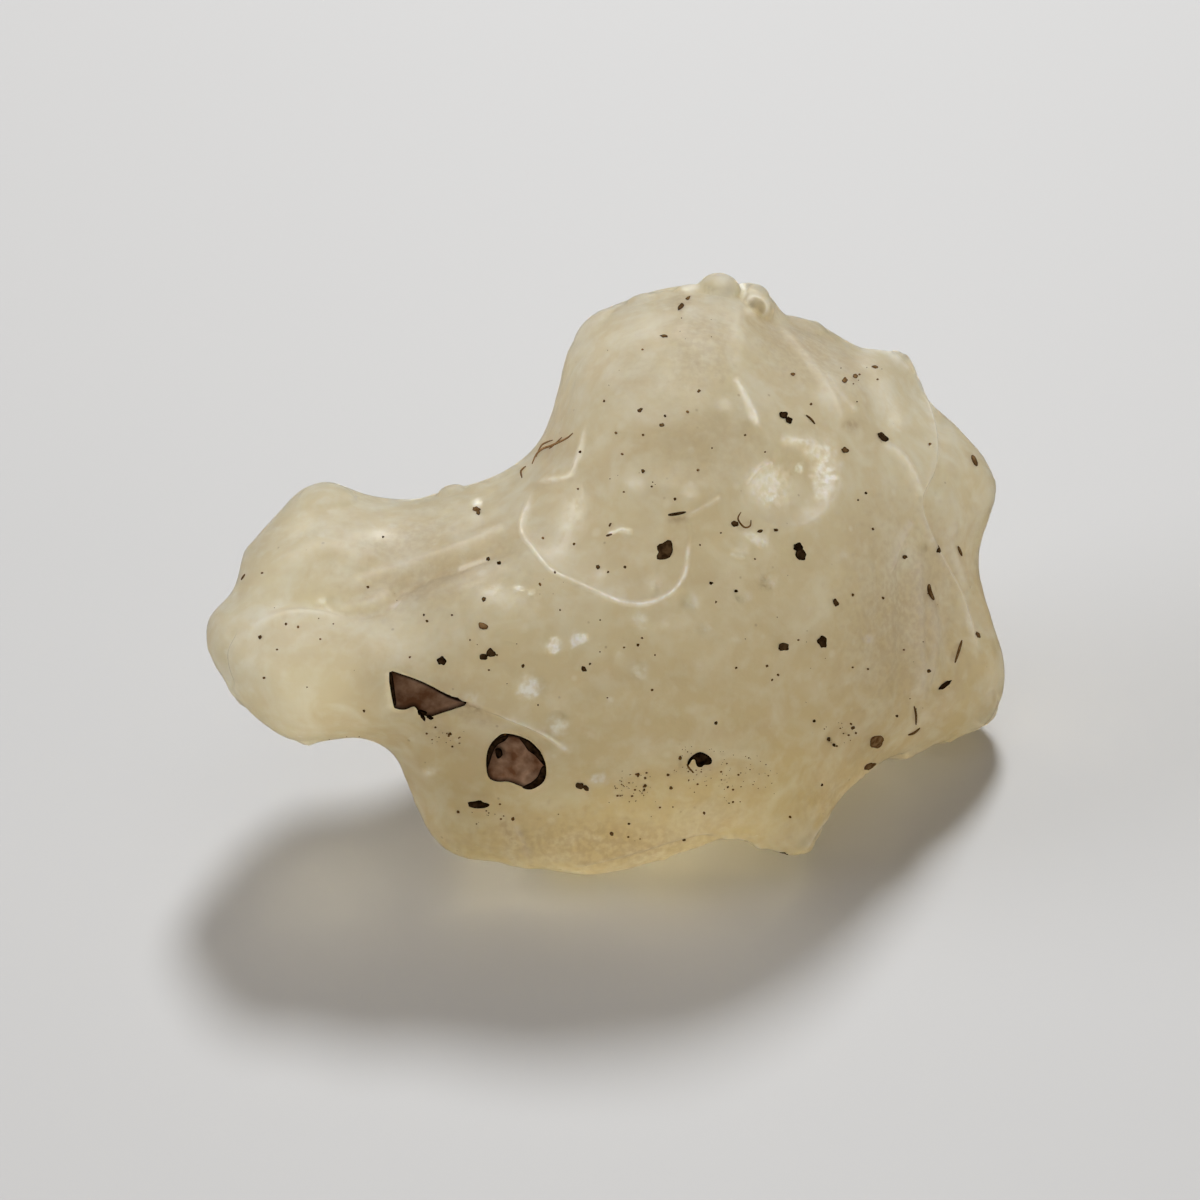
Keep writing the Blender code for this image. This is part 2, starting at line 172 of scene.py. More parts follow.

# Cloudy patches, painted sheen in the second dimple, and painted light on broad shaded areas: column, row,
# half width, half height, turn in degrees, frost with painted light
PATCHES_AND_PAINTED_LIGHT = [
    (301, 523, 16, 10, -30, 0.14), (321, 547, 10, 7, -20, 0.14), (381, 535, 14, 7, -5, 0.24),
    (327, 605, 5, 3, 40, 0.35), (359, 579, 5, 3, -30, 0.25), (250, 650, 60, 50, 0, 0.07),
    (495, 592, 14, 9, 0, 0.30), (519, 588, 5, 3, 10, 0.50), (531, 593, 3, 2, 0, 0.6),
    (600, 350, 26, 30, 0, 0.08), (570, 512, 12, 22, 28, 0.26), (636, 484, 9, 8, 0, 0.34),
    (690, 492, 8, 9, 0, 0.36), (668, 478, 12, 12, 0, 0.18), (826, 473, 10, 28, 2, 0.80),
    (812, 510, 10, 12, 35, 0.25), (816, 452, 12, 7, 20, 0.50), (640, 330, 30, 14, 0, 0.08),
    (770, 484, 20, 18, -20, 0.82), (774, 494, 8, 6, -20, 1.00), (757, 538, 13, 6, 25, 0.75),
    (741, 550, 9, 6, 0, 0.45), (735, 340, 9, 30, 0, 0.10), (722, 277, 12, 4, 0, 0.12),
    (757, 291, 13, 4, 10, 0.14), (749, 311, 6, 3, 20, 0.25), (826, 397, 9, 14, -25, 0.20),
    (893, 416, 9, 18, -8, 0.24), (868, 352, 12, 6, 20, 0.16), (477, 517, 5, 4, 0, 0.20),
    (599, 571, 6, 5, 0, 0.30), (560, 700, 16, 14, 0, 0.14), (640, 745, 20, 10, 0, 0.10),
    (786, 838, 22, 10, -12, 0.16), (525, 850, 6, 10, -25, 0.25), (915, 610, 12, 60, 0, 0.12),
    (665, 625, 5, 4, 0, 0.40), (620, 655, 4, 4, 0, 0.35), (735, 640, 5, 4, 0, 0.35),
    (700, 665, 5, 5, 0, 0.35), (845, 555, 6, 5, 0, 0.30), (810, 610, 5, 5, 0, 0.30),
    (590, 735, 5, 4, 0, 0.35), (610, 700, 4, 4, 0, 0.40), (505, 600, 22, 12, 10, 0.16),
    (480, 575, 30, 10, -20, 0.14), (690, 615, 26, 18, 0, 0.14), (880, 480, 14, 8, 0, 0.12),
    (415, 660, 62, 30, 10, 0.15),
]

# Brown and grey stains, and broad soft painted shade over the hump, the band, the knobs, the lower front, the
# tooth and the right flank: column, row, half width, half height, turn in degrees, strength
STAINS_AND_SHADE = [
    (470, 716, 26, 7, 20, 0.45), (436, 730, 16, 12, 30, 0.40), (452, 750, 12, 8, 30, 0.18),
    (390, 716, 9, 3, -25, 0.18), (508, 834, 6, 20, -18, 0.80), (516, 858, 10, 7, -20, 0.60),
    (513, 819, 5, 4, 0, 0.6), (677, 518, 9, 5, -10, 0.85), (743, 524, 11, 7, 10, 0.45),
    (474, 709, 15, 5, 25, 0.90), (758, 300, 14, 14, 0, 0.30), (722, 282, 14, 8, 0, 0.24),
    (700, 768, 22, 13, 0, 0.36), (633, 786, 20, 16, 0, 0.26), (745, 780, 28, 20, 0, 0.20),
    (696, 362, 8, 7, 0, 0.55), (705, 357, 6, 6, 0, 0.20), (852, 426, 8, 6, 20, 0.70),
    (862, 422, 10, 6, 0, 0.22), (851, 379, 9, 6, -20, 0.30), (680, 303, 11, 9, -30, 0.50),
    (403, 596, 7, 5, -20, 0.26), (957, 652, 5, 14, 18, 0.70), (915, 716, 4, 11, -6, 0.60),
    (915, 732, 8, 3, -30, 0.38), (931, 592, 8, 11, -10, 0.65), (961, 553, 3, 9, -20, 0.34),
    (975, 460, 6, 10, -25, 0.34), (936, 582, 12, 14, 0, 0.14), (905, 648, 8, 14, 0, 0.12),
    (600, 360, 20, 14, 0, 0.08), (845, 330, 22, 10, 25, 0.12), (480, 795, 12, 4, 0, 0.25),
    (575, 665, 10, 8, 0, 0.06), (655, 490, 26, 12, 0, 0.12), (980, 690, 14, 20, 0, 0.10),
    (260, 680, 20, 30, 0, 0.05), (350, 737, 22, 5, 0, 0.16), (930, 722, 30, 5, -18, 0.12),
    (547, 447, 14, 8, -35, 0.18), (905, 615, 55, 95, 5, 0.50), (830, 800, 50, 30, -30, 0.38),
    (600, 845, 130, 26, 0, 0.74), (705, 445, 70, 50, 0, 0.22), (800, 350, 64, 32, 30, 0.42),
    (900, 772, 45, 20, -20, 0.36), (420, 580, 95, 30, -18, 0.40), (640, 370, 50, 50, 0, 0.18),
    (700, 815, 60, 24, 0, 0.34), (330, 530, 60, 24, -20, 0.16), (700, 345, 38, 38, 0, 0.46),
    (400, 542, 60, 20, -15, 0.44),
]

PATCH_GRAIN = 6.0  # pixels, of the raggedness of a patch's edge
PATCH_RAGGEDNESS = 0.9
PATCH_REACH = 2.2  # half widths from its middle, beyond which nothing is left of it
PATCH_FIRMNESS = 1.3  # the firmer a patch is, the steeper its edge
INCLUSION_FIRMNESS = 2.0
LINE_WIDTHS = 4  # half widths from a line, or reaches from a ledge, beyond which next to nothing is left
LINE_ENDS = 0.15  # share of a line's length over which it fades in or out
LEDGE_ENDS = 0.25  # the same for a ledge
LEDGE_EDGE = 3.0  # pixels over which a ledge drops
DIMPLE_FADE = (-45, 15)  # pixels from its row, over which a dimple fades out
HALO_SIZE = 0.75  # as a share of the speck's length and width
HALO = 0.22  # stain round each dark speck
SPECK_ROUGHNESS = 0.45  # of a speck's outline, as a share of its size
BLACK = 0.0  # brown share of the darkest matter

# ---------------- what fills the hollows
# The two open pits with sediment: outline, how deep it lies below the glass in mm, brown share
PITS = {
    "wedge": ([(389, 673), (403, 675), (425, 684), (448, 697), (466, 704), (455, 709), (440, 714),
               (431, 717), (424, 716), (419, 713), (414, 707), (405, 710), (396, 709), (393, 704)],
              0.20, 0.85),
    "oval": ([(504, 735), (520, 738), (533, 746), (543, 760), (546, 772), (542, 783), (530, 789),
              (519, 786), (508, 782), (497, 782), (488, 777), (486, 760), (489, 747), (496, 739)], 0.16, 1.0),
}
# Black edges and a black spot on the sediment of the two pits
PIT_EDGES = [
    [(389, 673), (392, 674), (394, 688), (396, 705), (393, 704), (391, 690)],
    [(418, 711), (423, 712), (427, 714), (422, 717), (418, 714)],
    [(487, 752), (492, 744), (499, 738), (508, 736), (505, 741), (498, 745), (493, 752), (489, 764),
     (487, 768)],
    [(519, 738), (528, 741), (536, 748), (542, 756), (545, 766), (541, 763), (535, 756), (528, 751),
     (524, 745)],
    [(545, 767), (546, 776), (542, 784), (531, 790), (522, 788), (530, 784), (537, 778), (541, 769)],
    [(495, 750), (500, 750), (502, 756), (497, 759)],
]
PIT_DEPTH = 0.42  # mm, of the hollow in the glass
PIT_WALL = (-2.0, 2.0)  # pixels inside its outline, over which the hollow's wall drops
PIT_REACH = 6  # pixels round the outline, beyond which nothing is left of it
# A black crescent level with the skin: its outline
CRESCENT = [(687, 766), (688, 761), (691, 757), (695, 754), (700, 752), (706, 754), (710, 757), (712, 760),
            (711, 764), (707, 765), (704, 765), (702, 767), (698, 767), (696, 764), (695, 760), (692, 760),
            (689, 765)]

# Dark grains level with the skin: column, row, length, width in pixels, turn in degrees, brown share
SPECKS = [
    (665, 551, 19, 16, -60, 0.15), (798, 547, 9, 8, 0, 0.0), (801, 554, 12, 10, 40, 0.05),
    (784, 415, 9, 7, 20, 0.0), (789, 420, 7, 6, 50, 0.0), (883, 437, 12, 7, 38, 0.1),
    (822, 642, 13, 9, 80, 0.1), (784, 647, 11, 9, 0, 0.2), (836, 603, 8, 5, 70, 0.3),
    (877, 742, 15, 13, -45, 0.75), (945, 685, 15, 5, -35, 0.0), (870, 766, 11, 6, -30, 0.55),
    (484, 657, 9, 7, 0, 0.1), (491, 653, 9, 8, 30, 0.1), (442, 661, 9, 9, 70, 0.0),
    (483, 626, 9, 7, 30, 0.5), (478, 804, 20, 8, 2, 0.0), (580, 786, 8, 7, 20, 0.3),
    (586, 788, 7, 5, 30, 0.3), (584, 669, 6, 5, 50, 0.2), (476, 509, 8, 5, 10, 0.35),
    (478, 512, 6, 4, 80, 0.2), (484, 599, 5, 4, 90, 0.2), (488, 559, 4, 4, 0, 0.1),
    (499, 563, 4, 4, 0, 0.1), (664, 336, 9, 3, 8, 0.3), (681, 306, 9, 4, -50, 0.2),
    (688, 298, 6, 3, -40, 0.4), (640, 410, 6, 4, -30, 0.3), (662, 425, 5, 4, 0, 0.3),
    (845, 450, 7, 6, 20, 0.4), (643, 471, 4, 4, 0, 0.3), (735, 524, 7, 6, 20, 0.3),
    (760, 531, 6, 3, -15, 0.3), (776, 530, 5, 3, 10, 0.3), (736, 591, 4, 3, 0, 0.1),
    (711, 583, 4, 3, 0, 0.1), (845, 380, 6, 5, -30, 0.5), (856, 376, 5, 5, 0, 0.5),
    (793, 374, 5, 3, 10, 0.5), (420, 714, 5, 3, 40, 0.0), (423, 718, 8, 3, 55, 0.0),
    (430, 718, 7, 3, 20, 0.0), (875, 367, 6, 3, 10, 0.5), (598, 567, 5, 4, 0, 0.2),
    (699, 391, 4, 3, -40, 0.5), (450, 734, 4, 3, 0, 0.4), (978, 635, 7, 4, 60, 0.4),
    (829, 739, 4, 4, 0, 0.2), (834, 745, 4, 3, 40, 0.2), (814, 721, 3, 3, 0, 0.2),
    (260, 637, 4, 4, 30, 0.2), (610, 525, 5, 2, -60, 0.4),
]

# The same, a few pixels across or less: column, row, size
GRAINS = [
    (286, 624, 3), (298, 627, 3), (264, 678, 3), (368, 587, 3), (424, 615, 2.5), (427, 621, 3),
    (410, 657, 2.5), (364, 711, 3), (262, 573, 2.5), (383, 537, 2.5), (590, 664, 2.5), (523, 666, 4),
    (608, 572, 2.5), (665, 416, 3), (688, 412, 3.5), (698, 470, 3), (675, 499, 3), (604, 401, 3),
    (616, 433, 3), (643, 435, 3), (622, 454, 3), (580, 452, 3), (578, 489, 2.5), (543, 538, 3),
    (574, 544, 3), (555, 572, 3), (625, 567, 3), (540, 584, 3.5), (638, 645, 3.5), (642, 638, 2.5),
    (652, 690, 3), (736, 668, 3), (767, 666, 3), (778, 675, 3), (772, 680, 2.5), (716, 723, 4),
    (638, 775, 4), (645, 778, 3), (645, 786, 4), (644, 790, 3), (671, 788, 4), (668, 775, 3), (680, 758, 4),
    (632, 796, 2.5), (728, 787, 2.5), (733, 802, 2.5), (704, 813, 3), (822, 785, 3), (790, 817, 3),
    (612, 834, 4.5), (629, 824, 3), (684, 840, 3.5), (866, 493, 3), (873, 529, 3), (930, 444, 3.5),
    (929, 671, 4), (853, 595, 3), (883, 598, 3), (905, 557, 5), (513, 819, 4), (458, 812, 3.5),
    (470, 806, 2.5), (655, 655, 2), (716, 602, 2.5), (755, 559, 2), (811, 404, 3), (853, 728, 4),
    (851, 724, 2.5), (856, 733, 2.5), (497, 655, 2.5), (538, 705, 2), (452, 615, 2.5), (470, 640, 2),
    (700, 545, 2), (721, 533, 2), (868, 669, 2.5), (897, 716, 3), (745, 435, 2.5), (712, 448, 2),
    (765, 452, 2), (858, 500, 2.5), (600, 620, 2), (560, 610, 2), (505, 735, 2),
]

# Fine grains strewn over ellipses: column, row, half width, half height, how many
STREWN = [
    (634, 785, 20, 18, 40), (700, 768, 30, 26, 50), (745, 780, 34, 30, 44), (448, 735, 22, 12, 18),
    (345, 739, 22, 4, 10), (640, 480, 34, 16, 7), (845, 735, 24, 16, 12), (490, 812, 26, 14, 14),
    (690, 330, 40, 26, 5), (860, 385, 30, 24, 8), (610, 360, 40, 40, 4), (560, 640, 90, 70, 10),
    (800, 640, 90, 70, 10), (330, 640, 90, 60, 8), (620, 820, 70, 30, 10), (930, 640, 30, 80, 8),
]

STREWN_SIZES = (0.8, 0.8, 1.0, 1.0, 1.2, 1.5, 1.8, 2.6)  # pixels
STREWN_BROWNS = (0.5, 1.0)
STREWN_SLIMNESS = 0.4  # half the width, as a share of the length
GRAIN_SLIMNESS = 0.42
GRAIN_BROWNS = (0.2, 0.8)
STREWN_CROWDING = 0.6  # 0.5 strews them evenly, more crowds them in the middle

THREAD_TIP = 0.35  # width of a thread's ends, as a share of its middle's
THREAD_FULLNESS = 0.7  # the lower, the more of its length is nearly full width
# Thin brown threads: route, half width in pixels, brown share
THREADS = [
    ([(522, 478), (521, 471), (526, 466)], 1.0, 0.5),
    ([(532, 464), (536, 455), (542, 449), (550, 446), (557, 443), (567, 438), (573, 433)], 1.1, 0.8),
    ([(536, 457), (541, 446), (547, 442), (553, 440)], 0.8, 0.7),
    ([(549, 449), (556, 443), (562, 437)], 0.7, 0.8),
    ([(741, 512), (738, 519), (744, 527), (750, 526), (751, 520)], 0.9, 0.8),
    ([(806, 415), (811, 419), (815, 424)], 1.1, 0.4),
    ([(606, 536), (612, 534)], 1.2, 0.2),
    ([(668, 515), (676, 514), (686, 512)], 1.6, 0.1),
    ([(962, 640), (959, 650), (955, 663)], 1.4, 0.6),
    ([(914, 706), (916, 714), (916, 725)], 1.1, 0.6),
    ([(908, 735), (914, 733), (920, 728)], 1.2, 0.6),
    ([(929, 584), (930, 592), (934, 600)], 2.2, 0.5),
    ([(241, 580), (245, 574)], 1.0, 0.5),
    ([(687, 764), (689, 768), (694, 773)], 1.0, 0.9),
    ([(958, 546), (962, 556)], 1.4, 0.6),
    ([(972, 455), (977, 466)], 2.4, 0.5),
]

# White inclusions that reach the skin, and one painted glint at (803, 467): column, row, half width, half
# height, turn, whiteness
INCLUSIONS_AND_GLINT = [
    (555, 646, 8, 6, -15, 1.2), (579, 639, 8, 6, -20, 1.2), (531, 689, 10, 11, 20, 1.1),
    (558, 725, 10, 9, 0, 0.6), (641, 672, 9, 9, 0, 0.50), (692, 602, 8, 8, 0, 0.45),
    (772, 582, 6, 6, 0, 0.45), (747, 597, 6, 5, 0, 0.45), (705, 628, 6, 5, 0, 0.50),
    (871, 639, 5, 5, 0, 0.80), (599, 779, 8, 5, 0, 0.90), (655, 583, 6, 5, 0, 0.30),
    (723, 405, 8, 7, 0, 0.22), (477, 503, 5, 4, 0, 0.50), (803, 467, 4, 4, 0, 1.0),
    (321, 599, 6, 3, -10, 0.45), (394, 602, 6, 4, 0, 0.45), (640, 620, 9, 7, 20, 0.45),
    (430, 772, 7, 5, 0, 0.45), (472, 697, 10, 5, 25, 0.45), (689, 288, 9, 4, -8, 0.25),
    (752, 416, 4, 7, -25, 0.40),
]
SPHERULE_COVER = 0.5 * MM  # glass above the spherule sealed behind each inclusion
SPHERULE_ROUGHNESS = 0.16

# ---------------- the plates that grains, threads and fillings are made of
SPECK_SEED = 5
SPHERULE_SEED = 9
PLATE_RIPPLE_LENGTH = 0.25 * MM
SEDIMENT_GRID = 1.8  # pixels between the points inside an outline
EDGE_GRID = 1.5
GRID_MARGIN = 0.45  # spacings that the outermost points keep from the outline
OUTLINE_WAVES = 1.3  # how quickly a rough outline goes in and out
OUTLINE_SEEDS = (0, 50)
SAME_PLACE = 1e-4  # pixels, between corners that are one
CAST_HEIGHT = 0.5 * MM  # where rays start above the skin, on the sides out of sight
CAST_REACH = 2.0 * MM
# Corners of an outline, and sizes of the rings of points inside it as shares of its own
SPECK_CORNERS, SPECK_RINGS = 20, (0.85, 0.65, 0.35)
GRAIN_CORNERS, GRAIN_RINGS = 10, (0.6,)
STREWN_CORNERS, STREWN_RINGS = 6, (0.5,)
# Heights of the rim and the middle above the skin, thickness and ripple in mm, and slope in pixels
SEDIMENT_PLATE = {"rim_height": -0.02, "thickness": 0.12, "slope": 5.0, "ripple": 0.05}
EDGE_PLATE = {"rim_height": -0.03, "middle_height": -0.03, "thickness": 0.06, "slope": 1.5, "ripple": 0.02}
CRESCENT_PLATE = {"rim_height": 0.001, "middle_height": 0.02, "thickness": 0.06, "slope": 2.5}
SPECK_PLATE = {"rim_height": 0.001, "middle_height": 0.016, "thickness": 0.05, "slope": 1.5, "ripple": 0.012}
THREAD_PLATE = {"rim_height": 0.003, "middle_height": 0.016, "thickness": 0.04, "slope": 1.0}

# ---------------- the sides out of sight
HIDDEN_SEED = 11
HIDDEN_SCALLOPS = 22  # shallow hollows with a lip
HIDDEN_SPOTS = 60  # white frosted spots
HIDDEN_SPECKS = 46
HIDDEN_SPHERULES = 24
HIDDEN_BELOW = 0.10  # they face the camera less squarely than this
HIDDEN_FADE = 0.25  # and fade out over this much more
SCALLOP_RADII = (1.4, 3.6)  # mm
SCALLOP_DEPTHS = (0.18, 0.40)  # mm
SCALLOP_LIP = (1.03, 0.09, 0.35)  # its place and width in radii, its height in depths
SCALLOP_SLOPE = (0.45, 1.0)  # radii between which its bowl rises to the rim
SCALLOP_ROUGHNESS = 0.25  # of its outline
# frost of a scallop's lip, which also paints a highlight along it
LIP_FROSTS_AND_PAINTED_LIGHT = (0.08, 0.22)
SPOT_RADII = (0.25, 0.9)  # mm
SPOT_FROSTS = (0.14, 0.40)
HIDDEN_SPECK_SIZES = (2.5, 3, 3, 4, 4, 5, 6, 8, 11, 15)  # pixels
HIDDEN_SPECK_SLIMNESS = (0.28, 0.48)  # half its width, as a share of its length
HIDDEN_BROWNS = (0.0, 0.5)
HIDDEN_SPHERULE_RADII = (3.5, 8.5)  # pixels
HIDDEN_FLOOR = 0.4 * MM  # nothing hidden lies lower than this


def smooth(edges, value):
    """0 below the first edge, 1 above the second, and an even rise between."""
    share = np.clip((value - edges[0]) / (edges[1] - edges[0]), 0.0, 1.0)
    return share * share * (3.0 - 2.0 * share)


def faded_ends(along, reach):
    """0 at both ends of a way from 0 to 1, and 1 further than reach from them."""
    return smooth((0.0, reach), along) * smooth((0.0, reach), 1.0 - along)


def to_picture(points):
    """Columns and rows at which points in the scene appear in the picture, as an N x 2 array."""
    seen = points - EYE
    depth = -(seen @ TOWARD)
    column = PICTURE / 2 + PIXELS_PER_SLOPE * (seen @ RIGHT) / depth
    row = PICTURE / 2 - PIXELS_PER_SLOPE * (seen @ UP) / depth
    return np.stack((column, row), axis=1)


def sight_line(column, row):
    """Direction from the camera through a pixel of the picture."""
    across = (column - PICTURE / 2) / PIXELS_PER_SLOPE
    upward = (PICTURE / 2 - row) / PIXELS_PER_SLOPE
    return Vector(RIGHT * across + UP * upward - TOWARD).normalized()


# ---------------- routes drawn in the picture
def smooth_route(points, closed=False, steps=5):
    """A smooth curve through given points, as an array of finer points."""
    marks = np.array(points, dtype=float)
    count = len(marks)

    def mark(k):
        return marks[k % count] if closed else marks[min(max(k, 0), count - 1)]

    curve = []
    for span in range(count if closed else count - 1):
        a, b, c, d = (mark(span + k) for k in (-1, 0, 1, 2))
        for step in range(steps):
            t = step / steps
            bend = (2 * a - 5 * b + 4 * c - d) * t * t + (3 * b - a - 3 * c + d) * t ** 3
            curve.append(0.5 * (2 * b + (c - a) * t + bend))
    if not closed:
        curve.append(marks[-1])
    return np.array(curve)


def near_route(where, route):
    """Distance to a route, +1 on its right hand or -1, and how far along, from 0 to 1."""
    nearest = np.full(len(where), np.inf)
    hand = np.zeros(len(where))
    along = np.zeros(len(where))
    runs = len(route) - 1
    for k in range(runs):
        run = route[k + 1] - route[k]
        away = where - route[k]
        share = np.clip(away @ run / (run @ run), 0.0, 1.0)
        gap = away - share[:, None] * run
        distance = np.hypot(gap[:, 0], gap[:, 1])
        closer = distance < nearest
        nearest = np.where(closer, distance, nearest)
        hand = np.where(closer, np.sign(run[0] * away[:, 1] - run[1] * away[:, 0]), hand)
        along = np.where(closer, (k + share) / runs, along)
    return nearest, hand, along


def depth_inside(where, ring):
    """Distance from a closed ring for places inside it, less than zero outside."""
    distance, *_ = near_route(where, np.vstack((ring, ring[:1])))
    within = np.zeros(len(where), dtype=bool)
    for (xa, ya), (xb, yb) in zip(ring, np.roll(ring, -1, axis=0)):
        if ya == yb:
            continue
        spans = (ya > where[:, 1]) != (yb > where[:, 1])
        crossing = xa + (where[:, 1] - ya) * (xb - xa) / (yb - ya)
        within ^= spans & (where[:, 0] < crossing)
    return np.where(within, distance, -distance)


def oval(column, row, half_width, half_height, turn, count, roughness=0.0, seed=0.0):
    """Points round an oval, with a rough outline if roughness is above zero."""
    lean = math.radians(turn)
    ring = []
    for k in range(count):
        angle = 2 * math.pi * k / count
        lobe = Vector((OUTLINE_WAVES * math.cos(angle) + seed, OUTLINE_WAVES * math.sin(angle), seed))
        swell = 1.0 + roughness * noise.noise(lobe)
        x = half_width * swell * math.cos(angle)
        y = half_height * swell * math.sin(angle)
        ring.append((column + x * math.cos(lean) - y * math.sin(lean),
                     row + x * math.sin(lean) + y * math.cos(lean)))
    return np.array(ring)


# ---------------- mesh helpers
def vertex_array(mesh, what="co"):
    flat = np.empty(len(mesh.vertices) * 3)
    mesh.vertices.foreach_get(what, flat)
    return flat.reshape(-1, 3)


def put_vertices(mesh, points):
    mesh.vertices.foreach_set("co", points.ravel())
    mesh.update()


def put_attribute(mesh, name, values):
    attribute = mesh.attributes.new(name, "FLOAT", "POINT")
    attribute.data.foreach_set("value", np.asarray(values, dtype=np.float32))


def finished(work, name):
    """A mesh of what a bmesh holds."""
    mesh = bpy.data.meshes.new(name)
    work.to_mesh(mesh)
    work.free()
    return mesh


def add_object(name, data):
    obj = bpy.data.objects.new(name, data)
    bpy.context.scene.collection.objects.link(obj)
    return obj


def reworked(mesh, add_modifiers):
    """A new mesh: the given one with modifiers, which add_modifiers puts on its object."""
    start = add_object("start", mesh)
    add_modifiers(start.modifiers)
    graph = bpy.context.evaluated_depsgraph_get()
    result = bpy.data.meshes.new_from_object(start.evaluated_get(graph))
    bpy.data.objects.remove(start)
    return result


def smoothing(modifiers, passes):
    smoother = modifiers.new("smoothing", "SMOOTH")
    smoother.factor = SMOOTHING_FACTOR
    smoother.iterations = passes


def ride_and_slot(piece):
    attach(piece, "root")


# ---------------- the stone's skin
def even_cells(modifiers):
    rounder = modifiers.new("rounder", "SUBSURF")
    rounder.levels = FACET_ROUNDING
    rounder.render_levels = FACET_ROUNDING
    cells = modifiers.new("cells", "REMESH")
    cells.mode = "VOXEL"
    cells.voxel_size = SKIN_CELL
    smoothing(modifiers, FACET_SMOOTHING)


def halved(mesh, chosen):
    """The mesh with its chosen faces cut in four, and smoothed where cells of two sizes meet."""
    work = bmesh.new()
    work.from_mesh(mesh)
    work.faces.ensure_lookup_table()
    edges = {edge for index in np.flatnonzero(chosen) for edge in work.faces[index].edges}
    bmesh.ops.subdivide_edges(work, edges=sorted(edges, key=lambda edge: edge.index), cuts=1,
                              use_grid_fill=True)
    return reworked(finished(work, "halved"), lambda modifiers: smoothing(modifiers, CELL_SMOOTHING))


def faces_of(mesh):
    """Centres and outward normals of a mesh's faces."""
    centres = np.array([polygon.center for polygon in mesh.polygons])
    normals = np.array([polygon.normal for polygon in mesh.polygons])
    return centres, normals


def near_lines(where):
    """Whether each place in the picture lies close to one of the drawn lines."""
    close = np.zeros(len(where), dtype=bool)
    for points, *_ in LINES:
        route = smooth_route(points, steps=2)
        low, high = route.min(axis=0) - LINE_REACH, route.max(axis=0) + LINE_REACH
        some = np.flatnonzero(np.all((where > low) & (where < high), axis=1))
        distance, *_ = near_route(where[some], route)
        close[some] |= distance < LINE_REACH
    return close


def fine_skin():
    """The CAD stone's surface in small even cells, smaller where it shows in the picture and at lines."""
    work = bmesh.new()
    work.from_mesh(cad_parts["desert_glass"].data)
    bmesh.ops.remove_doubles(work, verts=work.verts, dist=WELD)
    mesh = reworked(finished(work, "welded"), even_cells)
    _, normals = faces_of(mesh)
    mesh = halved(mesh, normals @ TOWARD > FINE_FROM)
    centres, normals = faces_of(mesh)
    return halved(mesh, (normals @ TOWARD > FINE_FROM) & near_lines(to_picture(centres)))


def ground_of(mesh):
    """What rays are cast at: the skin as it is now."""
    work = bmesh.new()
    work.from_mesh(mesh)
    ground = BVHTree.FromBMesh(work)
    work.free()
    return ground


def see(ground, column, row):
    """Place and outward normal where a pixel's sight line meets the skin, or None."""
    place, normal, *_ = ground.ray_cast(Vector(EYE), sight_line(column, row))
    return None if place is None else (place, normal)


def rough_waves(points):
    """Height of the waviness at each point, mm."""
    height = np.zeros(len(points))
    for number, (length, tall) in enumerate(WAVES):
        offset = Vector(WAVE_SHIFT) * number
        scale = 1.0 / (length * MM)
        height += [tall * noise.noise(Vector(point) * scale + offset) for point in points]
    return height


def knob_heights(points, ground):
    height = np.zeros(len(points))
    for column, row, radius, tall in KNOBS:
        found = see(ground, column, row)
        if found is None:
            continue
        apart = np.linalg.norm(points - np.array(found[0]), axis=1) / (radius * MM)
        height += tall * np.sqrt(np.maximum(1.0 - apart ** 2, 0.0))
    return height


def hidden_marks(points, normals):
    """Height in mm, and frost with painted highlights on the lips, of what the sides out of sight bear:
    lipped scallops and white spots.
    """
    draw = random.Random(HIDDEN_SEED)
    facing = normals @ TOWARD
    hidden = np.flatnonzero(facing < HIDDEN_BELOW)
    height = np.zeros(len(points))
    frost_and_painted_light = np.zeros(len(points))
    lip_place, lip_width, lip_height = SCALLOP_LIP
    for _ in range(HIDDEN_SCALLOPS):
        centre = points[hidden[draw.randrange(len(hidden))]]
        radius = draw.uniform(*SCALLOP_RADII) * MM
        deep = draw.uniform(*SCALLOP_DEPTHS)
        around = np.array([noise.noise(Vector(point - centre) / radius) for point in points])
        apart = np.linalg.norm(points - centre, axis=1) / radius * (1.0 + SCALLOP_ROUGHNESS * around)
        lip = np.exp(-((apart - lip_place) / lip_width) ** 2)
        height += lip_height * deep * lip - deep * (1.0 - smooth(SCALLOP_SLOPE, apart))
        frost_and_painted_light = np.maximum(frost_and_painted_light, draw.uniform(*LIP_FROSTS_AND_PAINTED_LIGHT) * lip)
    for _ in range(HIDDEN_SPOTS):
        centre = points[hidden[draw.randrange(len(hidden))]]
        apart = np.linalg.norm(points - centre, axis=1) / (draw.uniform(*SPOT_RADII) * MM)
        frost_and_painted_light = np.maximum(frost_and_painted_light, draw.uniform(*SPOT_FROSTS) * np.exp(-apart ** 2))
    share = 1.0 - smooth((HIDDEN_BELOW, HIDDEN_BELOW + HIDDEN_FADE), facing)
    return height * share, frost_and_painted_light * share


